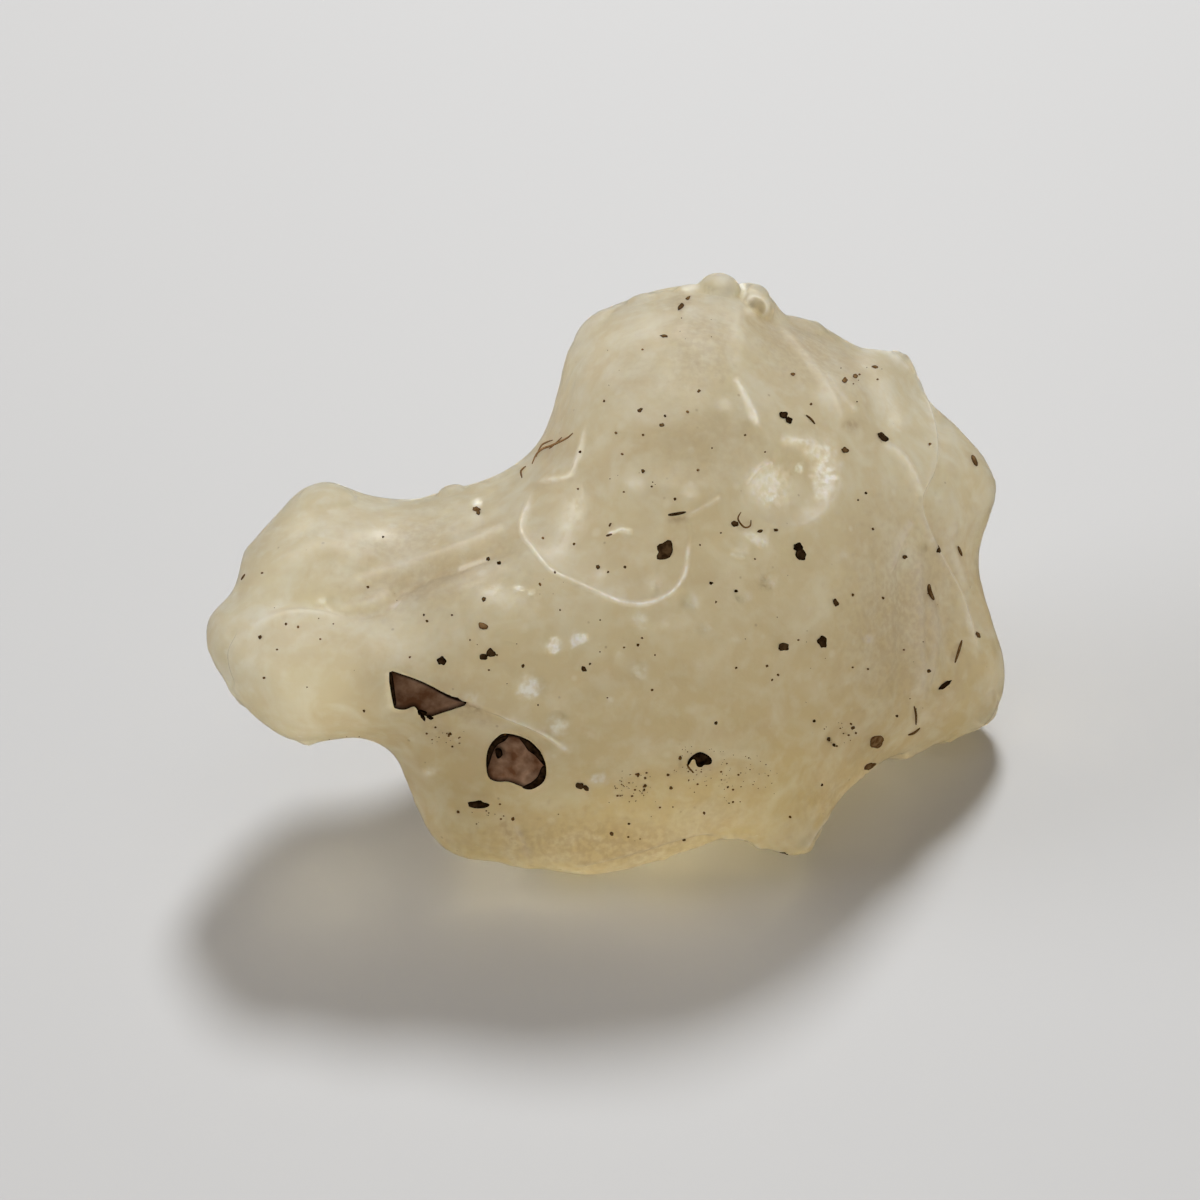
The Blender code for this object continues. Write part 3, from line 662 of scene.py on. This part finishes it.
class Relief:
    """Height, frost with painted light, and stains with painted shade, gathered at the skin's points from
    what is drawn in the picture.
    """

    def __init__(self, points, normals):
        self.where = to_picture(points)
        self.weight = smooth(FRONT_FADE, normals @ TOWARD)
        self.height = np.zeros(len(points))
        self.frost_and_painted_light = np.zeros(len(points))
        self.stain_and_shade = np.zeros(len(points))

    def near(self, route, reach):
        """Numbers of the points that can feel a route."""
        low = route.min(axis=0) - reach
        high = route.max(axis=0) + reach
        close = np.all((self.where > low) & (self.where < high), axis=1)
        return np.flatnonzero(close & (self.weight > 0.0))

    def draw_line(self, points, half_width, height, frost_and_painted_light):
        route = smooth_route(points)
        chosen = self.near(route, LINE_WIDTHS * half_width)
        distance, _, along = near_route(self.where[chosen], route)
        taper = faded_ends(along, LINE_ENDS)
        profile = np.exp(-(distance / half_width) ** 2) * taper
        self.height[chosen] += height * profile
        self.frost_and_painted_light[chosen] = np.maximum(self.frost_and_painted_light[chosen], frost_and_painted_light * profile)

    def draw_ledge(self, points, reach, drop):
        route = smooth_route(points)
        chosen = self.near(route, LINE_WIDTHS * reach)
        distance, hand, along = near_route(self.where[chosen], route)
        taper = faded_ends(along, LEDGE_ENDS)
        step = np.clip(hand * distance / LEDGE_EDGE, -1.0, 1.0)
        self.height[chosen] -= drop * 0.5 * step * np.exp(-distance / reach) * taper

    def draw_dimple(self, points, deep, slope, top_row):
        ring = smooth_route(points, closed=True)
        chosen = self.near(ring, 2 * slope)
        inner = depth_inside(self.where[chosen], ring)
        bowl = 1.0 - np.exp(-np.maximum(inner, 0.0) / slope)
        if top_row is not None:
            bowl *= smooth(DIMPLE_FADE, self.where[chosen, 1] - top_row)
        self.height[chosen] -= deep * bowl

    def draw_patch(self, target, patch, firmness=PATCH_FIRMNESS):
        """A ragged oval spot."""
        column, row, half_width, half_height, turn, strength = patch
        middle = np.array((column, row), dtype=float)
        chosen = self.near(middle[None, :], PATCH_REACH * max(half_width, half_height))
        lean = math.radians(turn)
        away = self.where[chosen] - middle
        x = (away[:, 0] * math.cos(lean) + away[:, 1] * math.sin(lean)) / half_width
        y = (away[:, 1] * math.cos(lean) - away[:, 0] * math.sin(lean)) / half_height
        ragged = np.array([noise.noise(Vector((*place, 0.0)) / PATCH_GRAIN) for place in self.where[chosen]])
        spot = strength * np.exp(-((x ** 2 + y ** 2) * (1.0 + PATCH_RAGGEDNESS * ragged)) ** firmness)
        target[chosen] = np.maximum(target[chosen], spot)

    def draw_all(self):
        for line in LINES:
            self.draw_line(*line)
        for ledge in LEDGES:
            self.draw_ledge(*ledge)
        for dimple in DIMPLES:
            self.draw_dimple(*dimple)
        # cloudy frost, and painted sheen and light
        for patch in PATCHES_AND_PAINTED_LIGHT:
            self.draw_patch(self.frost_and_painted_light, patch)
        for inclusion in INCLUSIONS_AND_GLINT:
            self.draw_patch(self.frost_and_painted_light, inclusion, INCLUSION_FIRMNESS)
        # stains, and broad patches of painted shade
        for stain_and_shade in STAINS_AND_SHADE:
            self.draw_patch(self.stain_and_shade, stain_and_shade)
        for column, row, long, wide, turn, _ in SPECKS:
            self.draw_patch(self.stain_and_shade, (column, row, HALO_SIZE * long, HALO_SIZE * wide, turn, HALO))

    def pit_depths(self):
        """How far each point sinks into the two open pits, mm."""
        depth = np.zeros(len(self.height))
        for outline, *_ in PITS.values():
            ring = smooth_route(outline, closed=True, steps=2)
            chosen = self.near(ring, PIT_REACH)
            inner = depth_inside(self.where[chosen], ring)
            depth[chosen] += PIT_DEPTH * smooth(PIT_WALL, inner)
        return depth


def build_skin():
    """The skin with everything drawn on it, its ground before the pits are cut, and places out of sight."""
    mesh = fine_skin()
    mesh.name = "stone"
    points = vertex_array(mesh)
    normals = vertex_array(mesh, "normal")
    marks, hidden_frost_and_painted_light = hidden_marks(points, normals)
    tall = SWELL + rough_waves(points) + knob_heights(points, ground_of(mesh)) + marks
    points += normals * tall[:, None] * MM
    put_vertices(mesh, points)
    normals = vertex_array(mesh, "normal")
    relief = Relief(points, normals)
    relief.draw_all()
    points += normals * (relief.height * relief.weight)[:, None] * MM
    points[:, 2] = np.maximum(points[:, 2], RESTING_GAP)
    put_vertices(mesh, points)
    ground = ground_of(mesh)
    hidden = points[(vertex_array(mesh, "normal") @ TOWARD < HIDDEN_BELOW) & (points[:, 2] > HIDDEN_FLOOR)]
    points = points - normals * relief.pit_depths()[:, None] * MM
    put_vertices(mesh, points)
    put_attribute(mesh, "frost_and_painted_light", np.clip(np.maximum(relief.frost_and_painted_light, hidden_frost_and_painted_light), 0.0, 1.0))
    put_attribute(mesh, "stain_and_shade", np.clip(relief.stain_and_shade, 0.0, 1.0))
    return mesh, ground, hidden


# ---------------- grains, threads and fillings
class Pile:
    """Many small closed bodies in one mesh, with a rim share and a tone at each point."""

    def __init__(self):
        self.points = []
        self.faces = []
        self.rim = []
        self.tone = []

    def add(self, points, faces, rim, tone):
        first = len(self.points)
        self.points += points
        self.faces += [[first + k for k in face] for face in faces]
        self.rim += rim
        self.tone += [tone] * len(points)

    def to_object(self, name, material):
        mesh = bpy.data.meshes.new(name)
        mesh.from_pydata(self.points, [], self.faces)
        mesh.update()
        mesh.shade_smooth()
        put_attribute(mesh, "rim", self.rim)
        put_attribute(mesh, "tone", self.tone)
        mesh.materials.append(material)
        piece = add_object(name, mesh)
        ride_and_slot(piece)
        return piece


def grid_inside(ring, spacing):
    """Points of a square grid inside an outline."""
    low, high = ring.min(axis=0), ring.max(axis=0)
    grid = np.array([(x, y) for x in np.arange(low[0] + spacing / 2, high[0], spacing)
                     for y in np.arange(low[1] + spacing / 2, high[1], spacing)])
    return grid[depth_inside(grid, ring) > GRID_MARGIN * spacing]


def rings_inside(ring, shares):
    """Smaller copies of an outline inside it, and its middle."""
    middle = ring.mean(axis=0)
    return np.vstack([middle + (ring - middle) * share for share in shares] + [middle])


def add_plate(pile, cast, ring, inner, tone, rim_height, middle_height, thickness, slope, ripple=0.002):
    """A closed plate that follows the skin inside an outline, as high above it as the two heights say.

    cast(x, y) gives the skin's place and normal at a point of the outline's plane. Heights and the
    thickness are in mm, and slope is how many pixels in from the outline the middle height is reached.
    """
    flat = [Vector(spot) for spot in np.vstack((ring, inner))]
    border = list(range(len(ring)))
    spots, _, faces, *_ = geometry.delaunay_2d_cdt(flat, [], [border], 1, SAME_PLACE)
    if not faces:
        return
    deep = depth_inside(np.array([tuple(spot) for spot in spots]), ring)
    front = []
    back = []
    rim = []
    for spot, inward in zip(spots, np.maximum(deep, 0.0)):
        found = cast(spot.x, spot.y)
        if found is None:
            return
        place, normal = found
        rise = min(inward / slope, 1.0)
        wave = ripple * noise.noise(place / PLATE_RIPPLE_LENGTH)
        height = rim_height + (middle_height - rim_height + wave) * rise
        front.append(place + normal * height * MM)
        back.append(place + normal * (height - thickness) * MM)
        rim.append(1.0 - rise)
    count = len(front)
    normal = sum((found_normal(front, face) for face in faces), Vector())
    outward = cast(spots[0].x, spots[0].y)[1]
    if normal.dot(outward) < 0.0:
        faces = [face[::-1] for face in faces]
    sides = open_edges(faces)
    walls = [(b, a, a + count, b + count) for a, b in sides]
    backs = [tuple(k + count for k in face[::-1]) for face in faces]
    pile.add(front + back, list(faces) + walls + backs, rim + [1.0] * count, tone)


def found_normal(points, face):
    a, b, c = (points[k] for k in face[:3])
    return (b - a).cross(c - a)


def open_edges(faces):
    """Edges that only one face has, each in that face's own direction."""
    seen = set()
    for face in faces:
        for a, b in zip(face, face[1:] + face[:1]):
            seen.add((a, b))
    return [(a, b) for a, b in sorted(seen) if (b, a) not in seen]


def ribbon(route, half_width):
    """Outline of a thread along a route, thinner towards its ends."""
    way = np.gradient(route, axis=0)
    way /= np.linalg.norm(way, axis=1)[:, None]
    across = np.stack((-way[:, 1], way[:, 0]), axis=1)
    share = np.linspace(0.0, 1.0, len(route))
    half = half_width * (THREAD_TIP + (1.0 - THREAD_TIP) * np.sin(np.pi * share) ** THREAD_FULLNESS)
    left = route + across * half[:, None]
    right = route - across * half[:, None]
    return np.vstack((left, right[::-1]))


def rough_oval(draw, column, row, half_width, half_height, turn, corners):
    seed = draw.uniform(*OUTLINE_SEEDS)
    return oval(column, row, half_width, half_height, turn, corners, SPECK_ROUGHNESS, seed)


def add_speck(pile, cast, ring, shares, tone):
    """A low rough dome of dark matter, its rim level with the skin."""
    add_plate(pile, cast, ring, rings_inside(ring, shares), tone, **SPECK_PLATE)


def camera_cast(ground):
    return lambda x, y: see(ground, x, y)


def hidden_casts(ground, hidden, count, draw):
    """Ways to cast at random places on the sides out of sight, over a plane that touches the skin."""
    for _ in range(count):
        base, normal, *_ = ground.find_nearest(Vector(hidden[draw.randrange(len(hidden))]))
        across = normal.orthogonal().normalized()
        upward = normal.cross(across)

        def cast(x, y):
            start = base + normal * CAST_HEIGHT + (across * x + upward * y) * PIXEL
            place, found, *_ = ground.ray_cast(start, -normal, CAST_REACH)
            return None if place is None else (place, found)

        yield cast


def build_sediment(ground, material):
    pile = Pile()
    cast = camera_cast(ground)
    for outline, sunk, brown in PITS.values():
        ring = smooth_route(outline, closed=True, steps=3)
        inner = grid_inside(ring, SEDIMENT_GRID)
        add_plate(pile, cast, ring, inner, brown, middle_height=-sunk, **SEDIMENT_PLATE)
    return pile.to_object("pit_sediment", material)


def build_specks(ground, hidden, material):
    pile = Pile()
    cast = camera_cast(ground)
    draw = random.Random(SPECK_SEED)
    for outline in PIT_EDGES:
        ring = smooth_route(outline, closed=True, steps=3)
        add_plate(pile, cast, ring, grid_inside(ring, EDGE_GRID), BLACK, **EDGE_PLATE)
    ring = smooth_route(CRESCENT, closed=True, steps=2)
    add_plate(pile, cast, ring, grid_inside(ring, EDGE_GRID), BLACK, **CRESCENT_PLATE)
    for column, row, long, wide, turn, brown in SPECKS:
        ring = rough_oval(draw, column, row, long / 2, wide / 2, turn, SPECK_CORNERS)
        add_speck(pile, cast, ring, SPECK_RINGS, brown)
    for column, row, size in GRAINS:
        turn = draw.uniform(0, 180)
        ring = rough_oval(draw, column, row, size / 2, size * GRAIN_SLIMNESS, turn, GRAIN_CORNERS)
        add_speck(pile, cast, ring, GRAIN_RINGS, draw.uniform(*GRAIN_BROWNS))
    for column, row, half_width, half_height, count in STREWN:
        for _ in range(count):
            angle = draw.uniform(0, 2 * math.pi)
            out = draw.random() ** STREWN_CROWDING
            size = draw.choice(STREWN_SIZES)
            x = column + half_width * out * math.cos(angle)
            y = row + half_height * out * math.sin(angle)
            ring = oval(x, y, size / 2, size * STREWN_SLIMNESS, 0, STREWN_CORNERS)
            add_speck(pile, cast, ring, STREWN_RINGS, draw.uniform(*STREWN_BROWNS))
    for points_of_way, half_width, brown in THREADS:
        way = smooth_route(points_of_way, steps=4)
        add_plate(pile, cast, ribbon(way, half_width), way[1:-1], brown, **THREAD_PLATE)
    for cast in hidden_casts(ground, hidden, HIDDEN_SPECKS, draw):
        size = draw.choice(HIDDEN_SPECK_SIZES)
        wide = size * draw.uniform(*HIDDEN_SPECK_SLIMNESS)
        turn = draw.uniform(0, 180)
        ring = rough_oval(draw, 0, 0, size / 2, wide, turn, SPECK_CORNERS)
        add_speck(pile, cast, ring, SPECK_RINGS, draw.uniform(*HIDDEN_BROWNS))
    return pile.to_object("dark_specks", material)


def build_spherules(ground, hidden, material):
    """White spherules sealed well under the skin, behind the inclusions that reach it."""
    draw = random.Random(SPHERULE_SEED)
    found = []
    for column, row, _, half_height, *_ in INCLUSIONS_AND_GLINT:
        place, normal = see(ground, column, row)
        found.append((place, normal, half_height * PIXEL))
    for cast in hidden_casts(ground, hidden, HIDDEN_SPHERULES, draw):
        place, normal = cast(0, 0)
        found.append((place, normal, draw.uniform(*HIDDEN_SPHERULE_RADII) * PIXEL))
    work = bmesh.new()
    for place, normal, radius in found:
        middle = place - normal * (radius + SPHERULE_COVER)
        ball = bmesh.ops.create_icosphere(work, subdivisions=3, radius=radius)["verts"]
        for vertex in ball:
            bump = 1.0 + SPHERULE_ROUGHNESS * noise.noise(vertex.co / (0.5 * radius) + place / MM)
            vertex.co = middle + vertex.co * bump
    mesh = finished(work, "white_spherules")
    mesh.shade_smooth()
    mesh.materials.append(material)
    piece = add_object("white_spherules", mesh)
    ride_and_slot(piece)
    return piece


# ---------------- materials
GLASS_IOR = 1.46
SHADE_DOWNWARD = (0.20, -0.35, -0.90)  # the way along which painted shade makes the glass deeper and darker in colour
SHADE_SPAN = (-0.009, 0.001)  # m along it, from the pale, lit straw to the deep straw of the painted shade
LIT_PALE_STRAW = (0.75, 0.675, 0.48)
SHADED_DEEP_STRAW = (0.66, 0.545, 0.300)
TAN = (0.66, 0.55, 0.36)
MILK = (0.88, 0.86, 0.75)
WHITE_FLECK = (0.95, 0.93, 0.84)
BROWN_FLECK = (0.20, 0.13, 0.06)
# white of the frost and of the painted highlights, sheen and light
FROST_AND_PAINTED_LIGHT_WHITE = (1.0, 1.0, 0.98)
# brown of the stains, also used for the painted shade
STAIN_AND_SHADE_BROWN = (0.36, 0.25, 0.13)
SCATTERING = {"Subsurface_Weight": 1.0, "Subsurface_Radius": (1.0, 0.85, 0.55), "Subsurface_Scale": 0.010}
GLASS_COLOUR = (0.92, 0.83, 0.56, 1.0)  # what light keeps on its way through the glass
GLASS_DENSITY = 35.0
SEDIMENT_BROWNS = (0.15, 0.066, 0.030), (0.36, 0.225, 0.145)
SEDIMENT_RIM = (0.010, 0.004, 0.002)
GRAIN_BLACKS = (0.004, 0.002, 0.001), (0.042, 0.022, 0.010)
GRAIN_RUSTS = (0.16, 0.080, 0.030), (0.36, 0.22, 0.10)
CHALKS = (0.92, 0.90, 0.84), (1.0, 1.0, 0.97)
BOARD_WHITE = (0.40, 0.397, 0.40, 1.0)


def new_material(name):
    material = bpy.data.materials.new(name)
    material.use_nodes = True
    tree = material.node_tree
    return material, tree, tree.nodes["Principled BSDF"]


def put(node, **values):
    """Sets a node's inputs by name."""
    for name, value in values.items():
        node.inputs[name.replace("_", " ")].default_value = value


def add_node(tree, kind, **settings):
    """A node with its properties and its inputs set by name."""
    node = tree.nodes.new(kind)
    for name, value in settings.items():
        if hasattr(node, name):
            setattr(node, name, value)
        else:
            put(node, **{name: value})
    return node


def object_noise(tree, scale, detail, stretch=(1.0, 1.0, 1.0), distortion=0.0):
    """Noise in the object's own space; scale is in waves per metre."""
    place = tree.nodes.new("ShaderNodeTexCoord")
    mapping = tree.nodes.new("ShaderNodeMapping")
    mapping.inputs["Scale"].default_value = stretch
    grain = add_node(tree, "ShaderNodeTexNoise", Scale=scale, Detail=detail, Distortion=distortion)
    tree.links.new(place.outputs["Object"], mapping.inputs["Vector"])
    tree.links.new(mapping.outputs["Vector"], grain.inputs["Vector"])
    return grain.outputs["Fac"]


def flecks(tree, scale, share, radius):
    """Small round flecks, 1 in the middle of each: a share of the cells of a grid have one."""
    place = tree.nodes.new("ShaderNodeTexCoord")
    cells = add_node(tree, "ShaderNodeTexVoronoi", Scale=scale)
    tree.links.new(place.outputs["Object"], cells.inputs["Vector"])
    lot = tree.nodes.new("ShaderNodeSeparateColor")
    tree.links.new(cells.outputs["Color"], lot.inputs["Color"])
    chosen = ranged(tree, lot.outputs["Red"], share, share - 0.02)
    reach = product(tree, lot.outputs["Green"], radius)
    far = add_node(tree, "ShaderNodeMath", operation="DIVIDE")
    tree.links.new(cells.outputs["Distance"], far.inputs[0])
    tree.links.new(reach, far.inputs[1])
    return product(tree, chosen, ranged(tree, far.outputs[0], 1.0, 0.4))


def ranged(tree, source, low, high, to_low=0.0, to_high=1.0):
    node = tree.nodes.new("ShaderNodeMapRange")
    for name, value in (("From Min", low), ("From Max", high), ("To Min", to_low), ("To Max", to_high)):
        node.inputs[name].default_value = value
    tree.links.new(source, node.inputs["Value"])
    return node.outputs["Result"]


def mixed(tree, share, first, second):
    """Colour between first and second, each a colour or a socket."""
    node = tree.nodes.new("ShaderNodeMix")
    node.data_type = "RGBA"
    tree.links.new(share, node.inputs[0])
    for socket, colour in ((node.inputs[6], first), (node.inputs[7], second)):
        if isinstance(colour, tuple):
            socket.default_value = (*colour, 1.0)
        else:
            tree.links.new(colour, socket)
    return node.outputs[2]


def product(tree, first, second):
    node = tree.nodes.new("ShaderNodeMath")
    node.operation = "MULTIPLY"
    tree.links.new(first, node.inputs[0])
    if isinstance(second, float):
        node.inputs[1].default_value = second
    else:
        tree.links.new(second, node.inputs[1])
    return node.outputs[0]


def attribute(tree, name):
    return add_node(tree, "ShaderNodeAttribute", attribute_name=name).outputs["Fac"]


def bumped(tree, shader, height, strength, distance):
    node = add_node(tree, "ShaderNodeBump", Strength=strength, Distance=distance)
    tree.links.new(height, node.inputs["Height"])
    tree.links.new(node.outputs["Normal"], shader.inputs["Normal"])


def slope_across(tree, direction):
    """How far along a direction a point lies, in metres, in the object's own space."""
    place = tree.nodes.new("ShaderNodeTexCoord")
    dot = tree.nodes.new("ShaderNodeVectorMath")
    dot.operation = "DOT_PRODUCT"
    dot.inputs[1].default_value = direction
    tree.links.new(place.outputs["Object"], dot.inputs[0])
    return dot.outputs["Value"]


def glass_material():
    """Milky straw-yellow glass with a satin skin and painted shade: paler above and to the left, deeper and
    darker below.
    """
    material, tree, shader = new_material("desert_glass")
    # painted shade: the straw colour deepens and darkens towards the bottom
    depth = ranged(tree, slope_across(tree, Vector(SHADE_DOWNWARD).normalized()), *SHADE_SPAN)
    colour = mixed(tree, depth, LIT_PALE_STRAW, SHADED_DEEP_STRAW)
    flow = ranged(tree, object_noise(tree, 200.0, 4.0, (0.7, 1.2, 1.6), 1.2), 0.42, 0.68)
    colour = mixed(tree, product(tree, flow, 0.80), colour, TAN)
    cloud = ranged(tree, object_noise(tree, 520.0, 4.0, distortion=0.8), 0.46, 0.72)
    colour = mixed(tree, product(tree, cloud, 0.75), colour, MILK)
    mottle = ranged(tree, object_noise(tree, 1500.0, 3.0), 0.48, 0.75)
    colour = mixed(tree, product(tree, mottle, 0.55), colour, MILK)
    colour = mixed(tree, product(tree, flecks(tree, 1100.0, 0.30, 0.30), 0.45), colour, WHITE_FLECK)
    colour = mixed(tree, product(tree, flecks(tree, 1700.0, 0.22, 0.16), 0.55), colour, BROWN_FLECK)
    speckle = ranged(tree, object_noise(tree, 4200.0, 3.0), 0.36, 0.60, 0.40, 1.0)
    # frost, and painted highlights, sheen and light: whiter and less clear there
    frost_and_painted_light = product(tree, ranged(tree, attribute(tree, "frost_and_painted_light"), 0.0, 0.62), speckle)
    colour = mixed(tree, frost_and_painted_light, colour, FROST_AND_PAINTED_LIGHT_WHITE)
    # brown stains, and the painted shade of the broad soft patches
    stain_and_shade = product(tree, attribute(tree, "stain_and_shade"), speckle)
    colour = mixed(tree, stain_and_shade, colour, STAIN_AND_SHADE_BROWN)
    tree.links.new(colour, shader.inputs["Base Color"])
    satin = ranged(tree, object_noise(tree, 900.0, 3.0), 0.3, 0.7, 0.56, 0.72)
    crisp = ranged(tree, attribute(tree, "frost_and_painted_light"), 0.2, 0.7, 1.0, 0.75)
    tree.links.new(product(tree, satin, crisp), shader.inputs["Roughness"])
    bumped(tree, shader, object_noise(tree, 2200.0, 6.0), 0.5, 0.04 * MM)
    put(shader, IOR=GLASS_IOR, Specular_IOR_Level=0.25)
    clear = ranged(tree, frost_and_painted_light, 0.0, 1.0, 0.86, 0.25)
    tree.links.new(clear, shader.inputs["Transmission Weight"])
    put(shader, **SCATTERING)
    absorb = add_node(tree, "ShaderNodeVolumeAbsorption")
    put(absorb, Color=GLASS_COLOUR, Density=GLASS_DENSITY)
    tree.links.new(absorb.outputs["Volume"], tree.nodes["Material Output"].inputs["Volume"])
    return material


def sediment_material():
    """Brown sediment: black-brown at its rim, reddish grey-brown and blotched in the middle."""
    material, tree, shader = new_material("sediment")
    blotch = ranged(tree, object_noise(tree, 1500.0, 5.0), 0.36, 0.66)
    fill = mixed(tree, blotch, *SEDIMENT_BROWNS)
    middle = ranged(tree, attribute(tree, "rim"), 0.30, 0.95, 1.0, 0.0)
    body = product(tree, middle, attribute(tree, "tone"))
    colour = mixed(tree, body, SEDIMENT_RIM, fill)
    tree.links.new(colour, shader.inputs["Base Color"])
    put(shader, Roughness=0.9, Specular_IOR_Level=0.05)
    bumped(tree, shader, object_noise(tree, 6000.0, 5.0), 0.5, 0.03 * MM)
    return material


def speck_material():
    """Black-brown grains, some of them rust brown."""
    material, tree, shader = new_material("dark_grain")
    middle = ranged(tree, attribute(tree, "rim"), 0.2, 0.8, 1.0, 0.0)
    blotch = product(tree, ranged(tree, object_noise(tree, 5000.0, 4.0), 0.35, 0.65), middle)
    dark = mixed(tree, blotch, *GRAIN_BLACKS)
    rust = mixed(tree, blotch, *GRAIN_RUSTS)
    colour = mixed(tree, attribute(tree, "tone"), dark, rust)
    tree.links.new(colour, shader.inputs["Base Color"])
    put(shader, Roughness=0.9, Specular_IOR_Level=0.0)
    bumped(tree, shader, object_noise(tree, 9000.0, 3.0), 0.5, 0.02 * MM)
    return material


def spherule_material():
    material, tree, shader = new_material("white_spherule")
    chalk = ranged(tree, object_noise(tree, 5000.0, 4.0), 0.3, 0.7)
    colour = mixed(tree, chalk, *CHALKS)
    tree.links.new(colour, shader.inputs["Base Color"])
    put(shader, Roughness=0.8, IOR=GLASS_IOR, Transmission_Weight=0.7)
    bumped(tree, shader, object_noise(tree, 9000.0, 3.0), 0.6, 0.03 * MM)
    return material


def floor_material():
    material, _, shader = new_material("white_board")
    put(shader, Base_Color=BOARD_WHITE, Roughness=0.6, Specular_IOR_Level=0.3)
    return material


# ---------------- building the scene
FLOOR_HALF = 0.95  # m, as far as the lamps light it
ROOM_COLOUR = (1.0, 0.915, 0.79, 1.0)
ROOM_STRENGTH = 0.34
# Lamps: name, direction from the stone, distance and width in m, power in W, colour
LAMPS = [
    ("window", (0.09, 0.90, 1.0), 0.75, 0.165, 6.3, (0.95, 0.98, 1.0)),
    ("left_wall", (-1.0, 0.0, 0.45), 0.90, 0.5, 4.7, (0.975, 0.98, 1.0)),
    ("right_wall", (1.0, -0.3, 0.35), 0.90, 0.5, 0.7, (1.0, 0.84, 0.66)),
    ("ceiling", (0.0, 0.25, 1.0), 0.90, 1.0, 1.0, (1.0, 0.96, 0.93)),
]


def build_stone():
    mesh, ground, hidden = build_skin()
    mesh.materials.clear()
    mesh.materials.append(glass_material())
    mesh.shade_smooth()
    stone = add_object("stone", mesh)
    ride_and_slot(stone)
    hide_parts("desert_glass")
    build_sediment(ground, sediment_material())
    build_specks(ground, hidden, speck_material())
    build_spherules(ground, hidden, spherule_material())


def build_floor():
    work = bmesh.new()
    bmesh.ops.create_grid(work, x_segments=1, y_segments=1, size=FLOOR_HALF)
    floor = add_object("floor", finished(work, "floor"))
    floor.data.materials.append(floor_material())


def add_lamp(name, toward, distance, size, energy, colour):
    """A round lamp that shines at the stone from a direction."""
    direction = Vector(toward).normalized()
    data = bpy.data.lights.new(name, "AREA")
    data.shape = "DISK"
    data.size = size
    data.energy = energy
    data.color = colour
    lamp = add_object(name, data)
    lamp.location = direction * distance
    lamp.rotation_euler = direction.to_track_quat("Z", "Y").to_euler()


def build_light():
    world = bpy.data.worlds.new("room")
    bpy.context.scene.world = world
    world.use_nodes = True
    put(world.node_tree.nodes["Background"], Color=ROOM_COLOUR, Strength=ROOM_STRENGTH)
    for lamp in LAMPS:
        add_lamp(*lamp)


def build_camera():
    data = bpy.data.cameras.new("camera")
    data.lens = LENS
    data.sensor_width = SENSOR
    data.clip_start, data.clip_end = CLIPS
    camera = add_object("camera", data)
    camera.location = Vector(EYE)
    camera.rotation_euler = (math.pi / 2 - LOOK_DOWN, 0.0, 0.0)
    bpy.context.scene.camera = camera


build_camera()
build_floor()
build_light()
build_stone()

bpy.context.scene.view_settings.view_transform = "Standard"
